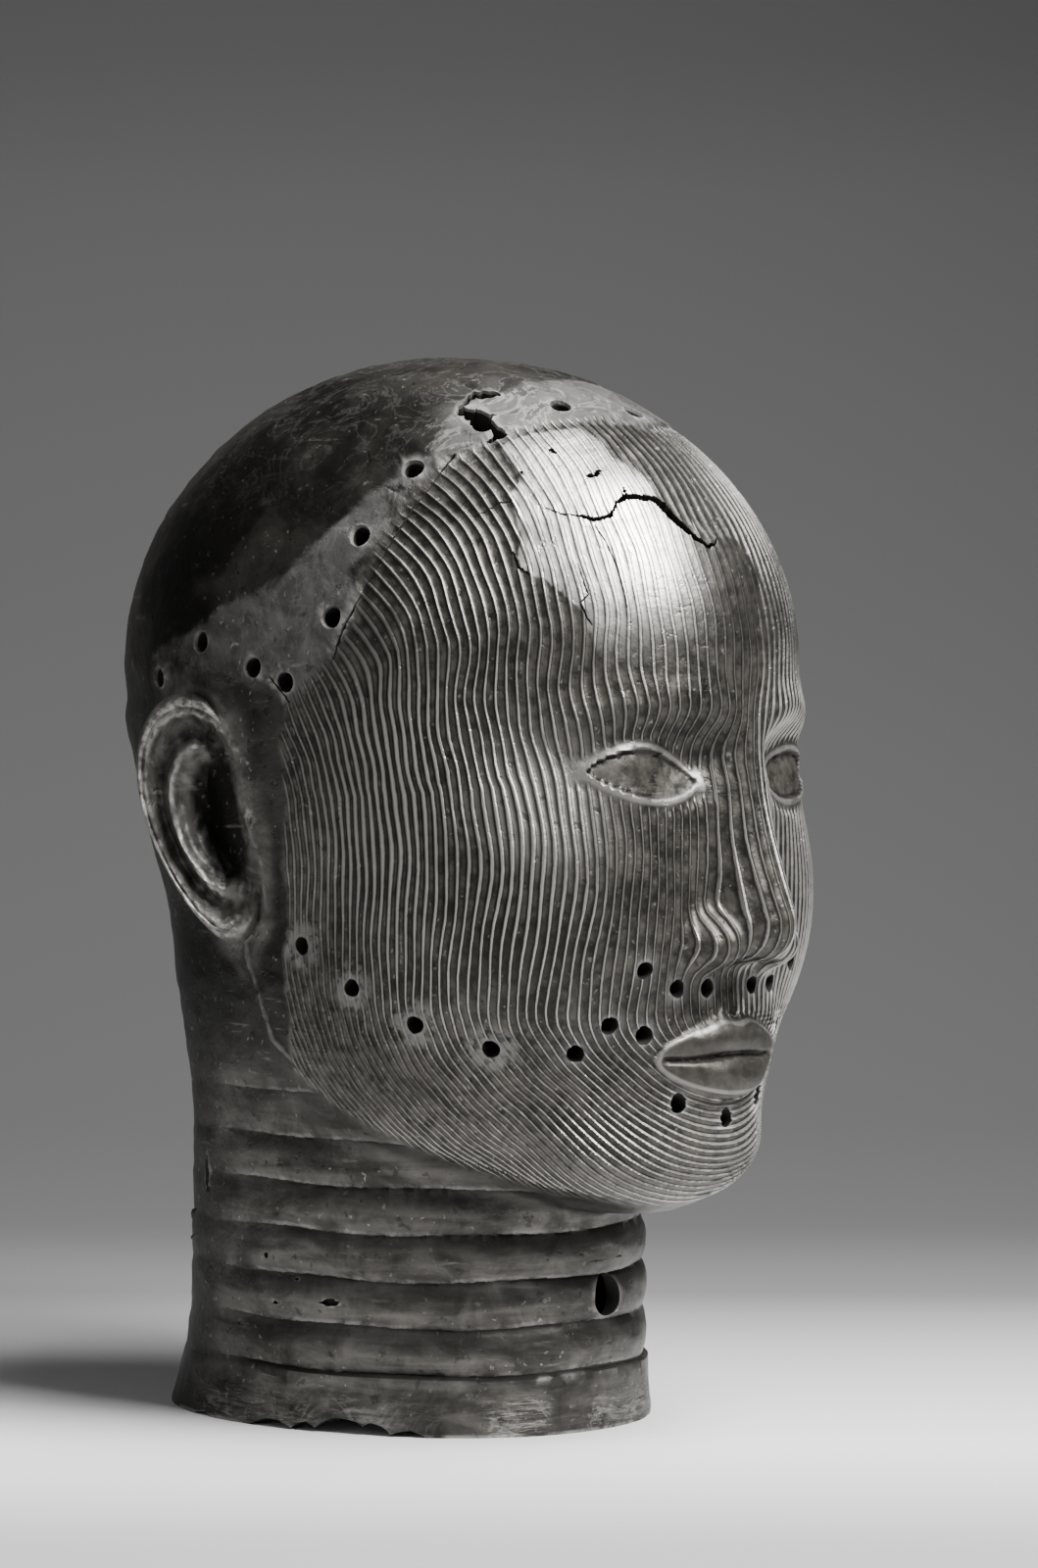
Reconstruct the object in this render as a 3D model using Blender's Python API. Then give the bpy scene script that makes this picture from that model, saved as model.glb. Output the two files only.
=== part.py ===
"""A hollow bronze head on a ringed neck, cast in one piece, in metres, with +Z up and the face towards -Y.

The free form is drawn in units of HEIGHT / 300, so that one unit is a millimetre at the real height.
Walls, bores, rings and cuts have real sizes of their own, in metres.
"""

import math

import bmesh
import bpy
import numpy as np
from mathutils import Matrix, Vector

# Driving dimensions, in metres
HEIGHT = 0.300  # rim of the neck to the crown
WALL = 0.0045  # thickness of the cast wall
HAIR_HOLE = 0.0052  # diameter of the holes along the hairline
BEARD_HOLE = 0.0048  # diameter of the holes of the beard and moustache
HOLE_SPACING = 0.0233  # from one hairline hole to the next
HOLE_SETBACK = 0.005  # of the hairline holes behind the hairline
NECK_HOLE = 0.0115  # diameter of the hole in the throat
NECK_HOLE_LEVEL = 0.0365  # height of its centre above the rim
SLIT_WIDTH = 0.0028  # casting flaw at the back of the neck
SLIT_HEIGHT = 0.0085
SLIT_LEVEL = 0.067
COLLAR_HEIGHT = 0.0170  # plain band under the neck rings
RING_SPACING = 0.0127  # crease to crease
RING_DEPTH = 0.0019  # from the crest of a ring to its crease
RINGS = 7
HAIR_LEDGE = 0.0010  # the cap stands proud of the face by this much
CRACK_WIDTH = 0.0013
CUT_OVERRUN = 0.004  # a cutter starts this far outside the metal

UNIT = HEIGHT / 300.0
FORM_SHIFT = -1.2  # moves the finished head along Y, in units, so that its box is centred on the origin
COLUMNS = 200  # facets round the head before thinning
OUTER_TRIANGLES = 5000  # left in the outer form
EAR_TRIANGLES = 560  # left in each ear
CORE_TRIANGLES = 1000  # left in the hollow
HOLE_SIDES = 8
FINE_FACTOR = 0.00001  # how much the eyes and lips are spared in thinning

# Centres and half axes of the form, in units
SKULL = ((0, 13.5, 212), (80, 113, 100))
SKULL_BACK = 98  # half axis behind its centre
SKULL_UP = 87  # half axis above its centre
NAPE_DROP = 34  # added to the half axis below it, at the back
FACE = ((0, -14, 150), (70, 78, 86))
JAW = ((0, -8, 112), (66, 74, 52))
CHIN = ((0, -62, 81), (37, 27.5, 21))
CHEEK = ((33, -50, 146), (30, 34.5, 36))
BROW = (196.5, 2.2)  # height of its line at the middle of the eye, and how proud it stands
NECK_CENTRE = 22
NECK_HALF = (58, 70.5)
NAPE_FADE = 32  # the neck's tube narrows by this much
NAPE_LEVELS = (120, 195)  # between these heights, inside the skull
MOUTH_BARREL = ((0, -64, 106), (37, 27, 26))
EYE = (31.5, -72.3, 180)
EYE_RADIUS = 14.0
EYE_OPENING = (15.0, 6.4, -5.2)  # half length, rise of the upper lid, fall of the lower lid
LID = 2.0
SOCKET = ((28, -102, 185.5), (21, 15, 11))
NOSE_ROOT = ((0, -86, 189), 8.5)
NOSE_TIP = ((0, -100, 140.5), 10.5)
NOSE_WING = ((12.5, -91, 135), (8.5, 12, 7.5))
NOSTRIL = ((7.5, -97.5, 127.0), (4.2, 6.0, 4.0))
MOUTH_LEVEL = 105.0
MOUTH_HALF = 26.0
UPPER_LIP = (-89.3, 4.6, 5.7)  # middle, height over the mouth's line, radius
LOWER_LIP = (-88.3, -5.8, 6.5)
EAR_CENTRE = (77.0, 31.0, 168.5)
EAR_HALF = (17.0, 35.5)  # half width and half height of the ear's outline
EAR_TURN = math.radians(26)  # its back edge stands off the head
EAR_LEAN = math.radians(15)  # its top leans back
EAR_RIM_END = (150, 172)  # its rim fades out between these angles, counted from the back of the outline
HAIRLINE_MIDDLE = -62.0  # depth of the hairline over the middle of the brow
HAIRLINE_HUB = 175  # height of the point round which its holes are laid out
TEMPLE_LEVEL = 225.0  # under this height the hairline runs further back
TEMPLE_BEND = 25.0  # the smaller, the faster
LEDGE_LEVELS = (202, 212)  # the cap's edge stands proud from between these heights up
OVER_EAR = (38.0, 48.5)  # half axes of the arc of holes round the ear
HEAD_MIDDLE = (0, 13.5, 160)  # turn and rise of what is placed on the head are seen from here

# Where holes and breaks lie, as turn from the face and rise, in degrees
BEARD_TURNS = (27.0, 40.3, 53.6, 66.9, 80.2)
LIP_HOLES = ((5.5, -19.3), (11.5, -19.3), (18.0, -16.5), (16.8, -25.5), (22.5, -24.5), (10.0, -33.5), (0.0, -35.0))
OVER_EAR_ANGLES = (-32.0, 1.0, 36.0)
CROWN_BREAK = (
    ((-18.7, 63.9, 0.7), (-25.0, 65.6, 1.6), (-31.3, 65.6, 2.6), (-38.0, 65.1, 3.0), (-44.0, 63.4, 4.0)),
    ((-46.0, 64.4, 3.6), (-43.8, 61.8, 7.4), (-40.4, 60.6, 6.4), (-37.6, 59.0, 3.0), (-34.0, 57.1, 0.9)),
)  # turn, rise and width of the gap
FOREHEAD_CRACK = (
    (-30.5, 45.4), (-25.9, 43.4), (-22.9, 42.6), (-19.5, 43.2), (-17.7, 45.4), (-12.3, 44.4), (-9.1, 40.0), (-4.9, 38.0),
)
RIM_BITES = ((-69.0, 0.012, 0.0048), (-91.0, 0.016, 0.0030), (-52.0, 0.013, 0.0022))  # turn, radius and height
SLIT_TURN = -127.0


def smooth_union(first, second, blend):
    """Polynomial smooth minimum: the two distances mixed where they differ by less than blend."""
    share = np.clip(0.5 + 0.5 * (second - first) / blend, 0, 1)
    return second + (first - second) * share - blend * share * (1 - share)


def smooth_step(low, high, value):
    """0 below low, 1 above high, and 3 t squared - 2 t cubed between them."""
    t = np.clip((value - low) / (high - low), 0, 1)
    return t * t * (3 - 2 * t)


def bump(value, width):
    """A bell of height 1 about 0: exp(-(value / width) squared)."""
    return np.exp(-((value / width) ** 2))


def ellipsoid(x, y, z, shape):
    """Nearly the distance to an ellipsoid: k (k - 1) / g, with k and g the lengths of q / half and q / half squared.

    A half axis may be an array that differs from place to place."""
    (cx, cy, cz), (hx, hy, hz) = shape
    qx, qy, qz = x - cx, y - cy, z - cz
    k = np.sqrt((qx / hx) ** 2 + (qy / hy) ** 2 + (qz / hz) ** 2)
    g = np.sqrt((qx / hx**2) ** 2 + (qy / hy**2) ** 2 + (qz / hz**2) ** 2)
    return k * (k - 1) / np.maximum(g, 1e-6)


def tapered_bar(x, y, z, start, end):
    """Distance to a bar between two balls, its radius running evenly from one to the other."""
    (a, ra), (b, rb) = start, end
    a, b = np.array(a, float), np.array(b, float)
    along = b - a
    share = ((x - a[0]) * along[0] + (y - a[1]) * along[1] + (z - a[2]) * along[2]) / (along @ along)
    share = np.clip(share, 0, 1)
    reach = (x - a[0] - share * along[0], y - a[1] - share * along[1], z - a[2] - share * along[2])
    return np.sqrt(reach[0] ** 2 + reach[1] ** 2 + reach[2] ** 2) - (ra + (rb - ra) * share)


def roll(x, y, z, middle_y, middle_z, radius):
    """Distance to a roll that runs across x, with its middle and radius given at each x."""
    return np.sqrt((y - middle_y) ** 2 + (z - middle_z) ** 2) - radius


def ring_relief(z, turn):
    """Rounded neck rings with sharp creases, in units: depth (1 - root of |sin|), fading towards the nape."""
    phase = (z * UNIT - COLLAR_HEIGHT) / RING_SPACING
    rounded = np.abs(np.sin(math.pi * phase)) ** 0.5
    on_rings = smooth_step(-0.08, 0.0, phase) * (1 - smooth_step(RINGS - 0.6, RINGS, phase))
    front = 1 - 0.85 * smooth_step(1.2, 2.2, np.abs(turn))
    return RING_DEPTH / UNIT * (1 - rounded) * on_rings * front


def neck_form(x, y, z, inset=0.0):
    """An upright oval tube that widens a little at the rim, most at the back, with rings on its outer side."""
    back = smooth_step(-20, 60, y - NECK_CENTRE)
    flare = (2.0 + 5.0 * back) * np.exp(-np.maximum(z, 0) / 16.0)
    hx, hy = NECK_HALF[0] + flare - inset, NECK_HALF[1] + flare - inset
    k = np.sqrt((x / hx) ** 2 + ((y - NECK_CENTRE) / hy) ** 2)
    g = np.sqrt((x / hx**2) ** 2 + ((y - NECK_CENTRE) / hy**2) ** 2)
    tube = k * (k - 1) / np.maximum(g, 1e-6) + NAPE_FADE * smooth_step(*NAPE_LEVELS, z)
    if inset == 0:
        tube = tube + ring_relief(z, np.arctan2(x, NECK_CENTRE - y))
    return np.maximum(tube, z - NAPE_LEVELS[1])


def shrunk(shape, inset):
    """The same ellipsoid with each half axis shorter by inset."""
    return shape[0], tuple(half - inset for half in shape[1])


def skull_form(x, y, z, inset=0.0):
    """An ellipsoid with half axes of its own in front, behind, above, and below at the back."""
    centre, (hx, hy, hz) = SKULL
    hy = np.where(y > centre[1], SKULL_BACK, hy)
    low = hz + NAPE_DROP * smooth_step(-20, 40, y)
    hz = np.where(z > centre[2], SKULL_UP, low)
    return ellipsoid(x, y, z, (centre, (hx - inset, hy - inset, hz - inset)))


def large_forms(x, y, z, inset=0.0):
    """Skull, face, jaw, chin and neck melted together, hollowed at the eyes, and all smaller by inset all round."""
    side = np.abs(x)
    form = smooth_union(skull_form(x, y, z, inset), ellipsoid(x, y, z, shrunk(FACE, inset)), 22)
    form = smooth_union(form, ellipsoid(x, y, z, shrunk(JAW, inset)), 22)
    form = smooth_union(form, ellipsoid(x, y, z, shrunk(CHIN, inset)), 14)
    form = smooth_union(form, ellipsoid(side, y, z, shrunk(CHEEK, inset)), 22)
    back = smooth_step(-20, 50, y - NECK_CENTRE)
    form = smooth_union(form, neck_form(x, y, z, inset), 4 + 20 * back)
    return -smooth_union(-form, ellipsoid(side, y, z, shrunk(SOCKET, -inset)), 9)


def lid_opening(side, z):
    """How far, in units, a point seen from the front lies outside the almond between the lids."""
    half, rise, fall = EYE_OPENING
    u = (side - EYE[0]) / half
    arch = np.maximum(1 - u * u, 0) ** 0.75
    level = z - EYE[2] - 1.2 * u
    outside = np.maximum(level - rise * arch, fall * arch - level)
    return np.maximum(outside, (np.abs(u) - 1) * half)


def brow_ridge(side, z):
    """How proud the brow stands: a bell about an arched line, running out towards the nose and the temple."""
    line, proud = BROW
    arch = line + 1.5 - 0.005 * (side - 29) ** 2
    ends = smooth_step(0, 16, side) * (1 - smooth_step(38, 62, side))
    return proud * bump(z - arch, 7.0) * ends


def features(x, y, z, form):
    """Brow, eyes, nose and mouth melted into the large forms."""
    side = np.abs(x)
    form = form - brow_ridge(side, z)
    ball = np.sqrt((side - EYE[0]) ** 2 + (y - EYE[1]) ** 2 + (z - EYE[2]) ** 2)
    ball = ball - EYE_RADIUS - LID * smooth_step(-0.2, 0.9, lid_opening(side, z))
    form = smooth_union(form, ball, 3.0)
    form = smooth_union(form, tapered_bar(x, y, z, NOSE_ROOT, NOSE_TIP), 9)
    form = smooth_union(form, ellipsoid(side, y, z, NOSE_WING), 6)
    form = -smooth_union(-form, ellipsoid(side, y, z, NOSTRIL), 1.5)
    form = smooth_union(form, ellipsoid(x, y, z, MOUTH_BARREL), 10)
    u = np.clip(side / MOUTH_HALF, 0, 1)
    taper = np.maximum(1 - u**2, 0.0) ** 0.55
    beyond = 3.0 * np.maximum(side - MOUTH_HALF, 0)
    bow = 0.8 * bump(side - 7.0, 6.0)
    for (middle, rise, radius), lift in ((UPPER_LIP, bow), (LOWER_LIP, 0)):
        level = MOUTH_LEVEL + rise * (1 - 0.8 * u**2) + lift
        form = smooth_union(form, roll(x, y, z, middle + 7.0 * u**2, level, radius * taper) + beyond, 1.8)
    return form


def form_distance(x, y, z):
    """The whole outer form, below 0 inside and above 0 outside."""
    return features(x, y, z, large_forms(x, y, z))


# Rays that reach every part of the form: height and depth of the ray's start, and its rise in degrees.
# Each row of the table is one level, from the crown to below the rim.
LEVELS = (
    ("crown", 205, 50, 90.0),
    ("cap", 200, 46, 60.0),
    ("hairline", 185, 34, 42.0),
    ("forehead", 165, 20, 28.0),
    ("eyes", 160, 13.5, 10.0),
    ("mouth", 160, 13.5, -25.0),
    ("chin", 160, 13.5, -40.0),
    ("underside", 160, 14, -51.0),
    ("throat", 136, 18, -50.0),
    ("nape", 96, 20, -36.0),
    ("neck", 60, 22, -15.0),
    ("collar", 17, 22, -1.0),
    ("below_rim", -12, 22, 0.0),
)
LEVEL_ROWS = (8, 12, 12, 24, 50, 20, 14, 8, 10, 12, 14, 8)  # rows of facets from each level to the next


def level_rays(level):
    """Start height, start depth and rise of the rays at a level, which runs from 0 at the crown to 12 below the rim."""
    at = np.arange(len(LEVELS))
    return [np.interp(level, at, [row[i] for row in LEVELS]) for i in (1, 2, 3)]


def cast(form, turn, level, far=190.0):
    """Where rays leave the form, found by halving. turn is the angle from the face, in radians, to the head's left."""
    height, depth, rise = level_rays(level)
    rise = np.radians(rise)
    way = (np.sin(turn) * np.cos(rise), -np.cos(turn) * np.cos(rise), np.sin(rise) + 0 * turn)
    near = np.zeros(np.broadcast(turn, level).shape)
    reach = near + far
    for _ in range(20):
        middle = (near + reach) / 2
        inside = form(way[0] * middle, depth + way[1] * middle, height + way[2] * middle) < 0
        near, reach = np.where(inside, middle, near), np.where(inside, reach, middle)
    return np.stack([way[0] * near, depth + way[1] * near, height + way[2] * near], axis=-1)


def hairline_edge(x, z):
    """How far back the hairline runs: its middle + 0.147 |x| to the power 1.3, and further back under the temple."""
    under = np.maximum(TEMPLE_LEVEL - z, 0) / TEMPLE_BEND
    return HAIRLINE_MIDDLE + 0.147 * np.abs(x) ** 1.3 + 22.0 * under**2


def hairline_side(x, y, z):
    """Above 0 on the cap and below 0 on the face, in units."""
    return y - hairline_edge(x, z)


def cap_ledge(x, y, z):
    """How far the cap stands proud of the face, in units."""
    return HAIR_LEDGE / UNIT * smooth_step(-0.8, 0.8, hairline_side(x, y, z)) * smooth_step(*LEDGE_LEVELS, z)


def outer_surface(turn, level):
    """Points of the finished outer form."""
    return cast(lambda x, y, z: form_distance(x, y, z) - cap_ledge(x, y, z), turn, level)


def inner_surface(turn, level):
    """The hollow: the same large forms, smaller by the wall."""
    wall = WALL / UNIT
    return cast(lambda x, y, z: large_forms(x, y, z, wall), turn, level)


def spaced_levels(rows):
    """Levels of all the rings of points, with the given number of rows from each level to the next."""
    steps = [np.linspace(i, i + 1, count, endpoint=False) for i, count in enumerate(rows)]
    return np.concatenate(steps + [[len(rows)]])[1:]


def reshaped_sphere(name, columns, rings, place, collection):
    """A sphere primitive whose points are moved by place(ring, turn), ring counting from 0 at the upper pole."""
    mesh = bpy.data.meshes.new(name)
    shape = bmesh.new()
    bmesh.ops.create_uvsphere(shape, u_segments=columns, v_segments=rings + 1, radius=1)
    spots = np.array([vert.co for vert in shape.verts])
    ring = np.round(np.arccos(np.clip(spots[:, 2], -1, 1)) / math.pi * (rings + 1)).astype(int)
    points = place(ring, np.arctan2(spots[:, 0], -spots[:, 1])) * UNIT
    for vert, point in zip(shape.verts, points):
        vert.co = Vector(point)
    bmesh.ops.recalc_face_normals(shape, faces=shape.faces)
    shape.to_mesh(mesh)
    shape.free()
    mesh.shade_smooth()
    obj = bpy.data.objects.new(name, mesh)
    collection.objects.link(obj)
    return obj


def form_solid(name, surface, collection):
    """A closed solid of a surface of (turn, level), with a flat end below the rim."""
    levels = np.concatenate([[0.0], spaced_levels(LEVEL_ROWS)])
    last = len(levels)
    levels = np.append(levels, levels[-1])

    def place(ring, turn):
        points = surface(turn - 0.35 * np.sin(turn), levels[ring])
        points[ring == 0, :2] = 0, LEVELS[0][2]
        points[ring == last, :2] = 0, NECK_CENTRE
        return points

    return reshaped_sphere(name, COLUMNS, last - 1, place, collection)


def ear_heights(across, up):
    """Height of the ear's front over its plane, in units: rim, inner fold, bowl, flap in front of it and lobe.

    across and up run from -1 to 1 over the ear's outline, across from front to back."""
    reach = np.hypot(across, up)
    angle = np.degrees(np.arctan2(up, across))
    rim_on = 1 - smooth_step(*EAR_RIM_END, np.where(angle < -60, angle + 360, angle))
    rim = 3.4 * bump(reach - 0.86, 0.12) * rim_on
    fold_reach = np.hypot((across + 0.10) / 0.58, (up + 0.02) / 0.56)
    fold_on = smooth_step(-120, -80, angle) * (1 - smooth_step(95, 130, angle))
    fold = 2.6 * bump(fold_reach - 1, 0.2) * fold_on
    bowl = -6.5 * bump(np.hypot((across + 0.22) / 0.36, (up + 0.06) / 0.40), 1.0)
    flap = 4.2 * bump(np.hypot((across + 0.78) / 0.26, (up + 0.16) / 0.17), 1.0)
    heel = 2.0 * bump(np.hypot((across + 0.30) / 0.22, (up + 0.56) / 0.12), 1.0)
    lobe = 1.6 * bump(np.hypot((across + 0.25) / 0.5, (up + 0.84) / 0.2), 1.0)
    return 1.6 + rim + fold + bowl + flap + heel + lobe


def ear_point(across, up, height):
    """Place on the head's left ear, in units, of a point of its outline and its height over the ear's plane."""
    half_across, half_up = EAR_HALF
    u = across * half_across * (1.0 + 0.24 * up)
    v = up * half_up
    back = u * math.cos(EAR_LEAN) + v * math.sin(EAR_LEAN)
    rise = v * math.cos(EAR_LEAN) - u * math.sin(EAR_LEAN)
    cx, cy, cz = EAR_CENTRE
    x = cx + back * math.sin(EAR_TURN) + height * math.cos(EAR_TURN)
    y = cy + back * math.cos(EAR_TURN) - height * math.sin(EAR_TURN)
    return np.stack([x, y, cz + rise], axis=-1)


def ear(name, side, collection):
    """An ear as a closed shell: its carved front on the upper half of a sphere, a root that sinks into the head below."""
    columns, rings = 48, 47

    def place(ring, turn):
        polar = ring / (rings + 1) * math.pi
        reach = np.sin(polar)
        across, up = reach * np.cos(turn), reach * np.sin(turn)
        edge = np.sqrt(np.clip(1 - reach**2, 0, 1))
        front = ear_heights(across, up) * smooth_step(0, 0.35, edge)
        root = -2.0 - 11.0 * smooth_step(0.25, 0.75, 1 - np.hypot(across + 0.3, up * 0.9)) * edge
        height = np.where(ring <= (rings + 1) / 2, front, root * smooth_step(0, 0.3, edge))
        points = ear_point(across, up, height)
        points[:, 0] *= side
        return points

    return reshaped_sphere(name, columns, rings, place, collection)


def apply_modifier(obj, kind, **settings):
    """Put a modifier on an object and keep its result as the object's mesh."""
    modifier = obj.modifiers.new(kind.title(), kind)
    for key, value in settings.items():
        setattr(modifier, key, value)
    graph = bpy.context.evaluated_depsgraph_get()
    old = obj.data
    obj.data = bpy.data.meshes.new_from_object(obj.evaluated_get(graph))
    obj.modifiers.clear()
    bpy.data.meshes.remove(old)


def thin(obj, triangles, kept=None):
    """Thin a mesh to a number of triangles, less where kept(x, y, z), in units, is 1 than where it is 0."""
    now = sum(len(face.vertices) - 2 for face in obj.data.polygons)
    settings = {"ratio": min(1.0, triangles / now)}
    if kept is not None:
        group = obj.vertex_groups.new(name="fine")
        places = np.array([vert.co for vert in obj.data.vertices]) / UNIT
        for i, weight in enumerate(kept(*places.T)):
            if weight > 0:
                group.add([i], float(weight), "REPLACE")
        settings |= {"vertex_group": "fine", "invert_vertex_group": True, "vertex_group_factor": FINE_FACTOR}
    apply_modifier(obj, "DECIMATE", **settings)
    obj.vertex_groups.clear()


def fine_parts(x, y, z):
    """1 about the eyes and lips, and 0 elsewhere."""
    side = np.abs(x)
    eyes = bump(np.hypot((side - EYE[0]) / 22, (z - EYE[2]) / 14), 1.0)
    lips = bump(np.hypot(side / 30, (z - MOUTH_LEVEL) / 16), 1.0)
    return np.clip(2 * np.maximum(eyes, lips) - 0.4, 0, 1) * (y < -60)


def surface_place(turn, rise):
    """Point of the head seen from HEAD_MIDDLE at a turn and rise in degrees, and the outward way there, in units."""
    turn, rise = math.radians(turn), math.radians(rise)
    way = np.array([math.sin(turn) * math.cos(rise), -math.cos(turn) * math.cos(rise), math.sin(rise)])
    near, reach = 0.0, 190.0
    for _ in range(30):
        middle = (near + reach) / 2
        x, y, z = (np.array([value]) for value in HEAD_MIDDLE + way * middle)
        near, reach = (middle, reach) if form_distance(x, y, z)[0] < 0 else (near, middle)
    return HEAD_MIDDLE + way * near


def outward(point):
    """Unit vector square to the form at a point: the slope of its distance over half a unit each way."""
    slope = []
    for axis in range(3):
        step = np.zeros(3)
        step[axis] = 0.5
        ahead, behind = (np.array([[value] for value in point + sign * step]) for sign in (1, -1))
        slope.append((large_forms(*ahead) - large_forms(*behind))[0])
    slope = np.array(slope)
    return slope / np.linalg.norm(slope)


def hairline_holes():
    """Places along the hairline, evenly spaced by length from the middle of the brow to just over the ears."""
    swing = np.radians(np.linspace(0, 92, 400))
    near, reach = np.zeros(400), np.full(400, 150.0)
    for _ in range(20):
        middle = (near + reach) / 2
        x, z = middle * np.sin(swing), HAIRLINE_HUB + middle * np.cos(swing)
        y = hairline_edge(x, z) + HOLE_SETBACK / UNIT
        inside = form_distance(x, y, z) < 0
        near, reach = np.where(inside, middle, near), np.where(inside, reach, middle)
    line = np.stack([x, y, z], axis=-1)
    run = np.concatenate([[0], np.cumsum(np.linalg.norm(np.diff(line, axis=0), axis=1))])
    stops = np.arange(0, run[-1], HOLE_SPACING / UNIT)[:7]
    side = np.stack([np.interp(stops, run, line[:, i]) for i in range(3)], axis=-1)
    return [*side, *(side[1:] * (-1, 1, 1))]


def over_ear_holes():
    """Places on an arc round the top of each ear."""
    _, cy, cz = EAR_CENTRE
    places = []
    for angle in np.radians(OVER_EAR_ANGLES):
        y, z = cy + OVER_EAR[0] * math.sin(angle), cz + OVER_EAR[1] * math.cos(angle)
        x = np.linspace(0, 100, 2001)
        x = x[form_distance(x, 0 * x + y, 0 * x + z) < 0].max()
        places += [np.array([x, y, z]), np.array([-x, y, z])]
    return places


def beard_holes():
    """Places of the beard's row from below the ear to the chin, and of the holes about the lips."""
    row = [(turn, -30.2 + 0.0065 * (turn - 40.0) ** 2) for turn in BEARD_TURNS]
    both = {(sign * turn, rise) for turn, rise in (*row, *LIP_HOLES) for sign in (1, -1)}
    return [surface_place(turn, rise) for turn, rise in sorted(both)]


def drill(name, place, way, radius, collection, sides=HOLE_SIDES, inward=3 * WALL):
    """A bar that bores the wall at a place, in units, along its outward way."""
    mesh = bpy.data.meshes.new(name)
    shape = bmesh.new()
    length = CUT_OVERRUN + inward
    bmesh.ops.create_cone(shape, cap_ends=True, segments=sides, radius1=radius, radius2=radius, depth=length)
    shape.to_mesh(mesh)
    shape.free()
    obj = bpy.data.objects.new(name, mesh)
    way = Vector(way)
    middle = Vector(place) * UNIT + way * (CUT_OVERRUN - inward) / 2
    obj.matrix_world = Matrix.Translation(middle) @ way.to_track_quat("Z", "Y").to_matrix().to_4x4()
    collection.objects.link(obj)
    return obj


def gap_cutter(name, path, collection, inward=3 * WALL):
    """A ribbon that cuts a jagged gap: at each (turn, rise, width) it spans the width and reaches through the wall."""
    spots = [Vector(surface_place(turn, rise)) * UNIT for turn, rise, _ in path]
    ways = [(spot - Vector(HEAD_MIDDLE) * UNIT).normalized() for spot in spots]
    mesh = bpy.data.meshes.new(name)
    shape = bmesh.new()
    rows = []
    for i, (spot, way) in enumerate(zip(spots, ways)):
        along = spots[min(i + 1, len(spots) - 1)] - spots[max(i - 1, 0)]
        across = along.cross(way).normalized() * path[i][2] * UNIT / 2
        top, bottom = spot + way * CUT_OVERRUN, spot - way * inward
        corners = (top - across, top + across, bottom + across, bottom - across)
        rows.append([shape.verts.new(corner) for corner in corners])
    shape.faces.new(rows[0])
    shape.faces.new(rows[-1])
    for row, following in zip(rows, rows[1:]):
        for i in range(4):
            k = (i + 1) % 4
            shape.faces.new((row[i], row[k], following[k], following[i]))
    bmesh.ops.recalc_face_normals(shape, faces=shape.faces)
    shape.to_mesh(mesh)
    shape.free()
    obj = bpy.data.objects.new(name, mesh)
    collection.objects.link(obj)
    return obj


def ground_cutter(collection):
    """A slab under the rim that cuts the neck off flat."""
    mesh = bpy.data.meshes.new("ground_cutter")
    shape = bmesh.new()
    bmesh.ops.create_cube(shape, size=1.0)
    bmesh.ops.scale(shape, vec=(HEIGHT, HEIGHT, HEIGHT / 4), verts=shape.verts)
    bmesh.ops.translate(shape, vec=(0, NECK_CENTRE * UNIT, -HEIGHT / 8), verts=shape.verts)
    shape.to_mesh(mesh)
    shape.free()
    obj = bpy.data.objects.new("ground_cutter", mesh)
    collection.objects.link(obj)
    return obj


def neck_place(turn, height):
    """Point on the neck's side at a turn in degrees and a height in metres, and the level outward way there."""
    turn = math.radians(turn)
    way = np.array([math.sin(turn), -math.cos(turn), 0.0])
    steps = np.linspace(30, 100, 1401)
    x, y = way[0] * steps, NECK_CENTRE + way[1] * steps
    reach = steps[neck_form(x, y, 0 * x + height / UNIT) < 0].max()
    return np.array([0, NECK_CENTRE, height / UNIT]) + way * reach, way


def neck_cutters(collection):
    """The hole in the throat, the slit at the back and the bites out of the rim."""
    place, way = neck_place(0.0, NECK_HOLE_LEVEL)
    cutters = [drill("throat_hole", place, way, NECK_HOLE / 2, collection, sides=14)]
    place, way = neck_place(SLIT_TURN, SLIT_LEVEL)
    slit = drill("neck_slit", place, way, SLIT_WIDTH / 2, collection)
    slit.data.transform(Matrix.Diagonal((1.0, SLIT_HEIGHT / SLIT_WIDTH, 1.0, 1.0)))
    cutters.append(slit)
    for i, (turn, radius, height) in enumerate(RIM_BITES):
        place, way = neck_place(turn, height)
        place[2] = (height - radius) / UNIT
        cutters.append(drill(f"rim_bite_{i}", place, way, radius, collection, sides=9))
    return cutters


def subtract(obj, cutters, collection):
    """Take cutters out of an object: a live cut by one collection of cutters that don't touch each other."""
    for cutter in cutters:
        cutter.hide_render = True
        cutter.display_type = "WIRE"
    group = bpy.data.collections.new(f"{obj.name}_cutters")
    collection.children.link(group)
    for cutter in cutters:
        collection.objects.unlink(cutter)
        group.objects.link(cutter)
    apply_modifier(obj, "BOOLEAN", operation="DIFFERENCE", operand_type="COLLECTION", collection=group)


def bronze():
    """Dark, worn cast metal."""
    material = bpy.data.materials.new("dark_bronze")
    material.use_nodes = True
    shader = material.node_tree.nodes["Principled BSDF"]
    shader.inputs["Base Color"].default_value = (0.19, 0.165, 0.14, 1)
    shader.inputs["Metallic"].default_value = 0.9
    shader.inputs["Roughness"].default_value = 0.42
    return material


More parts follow.
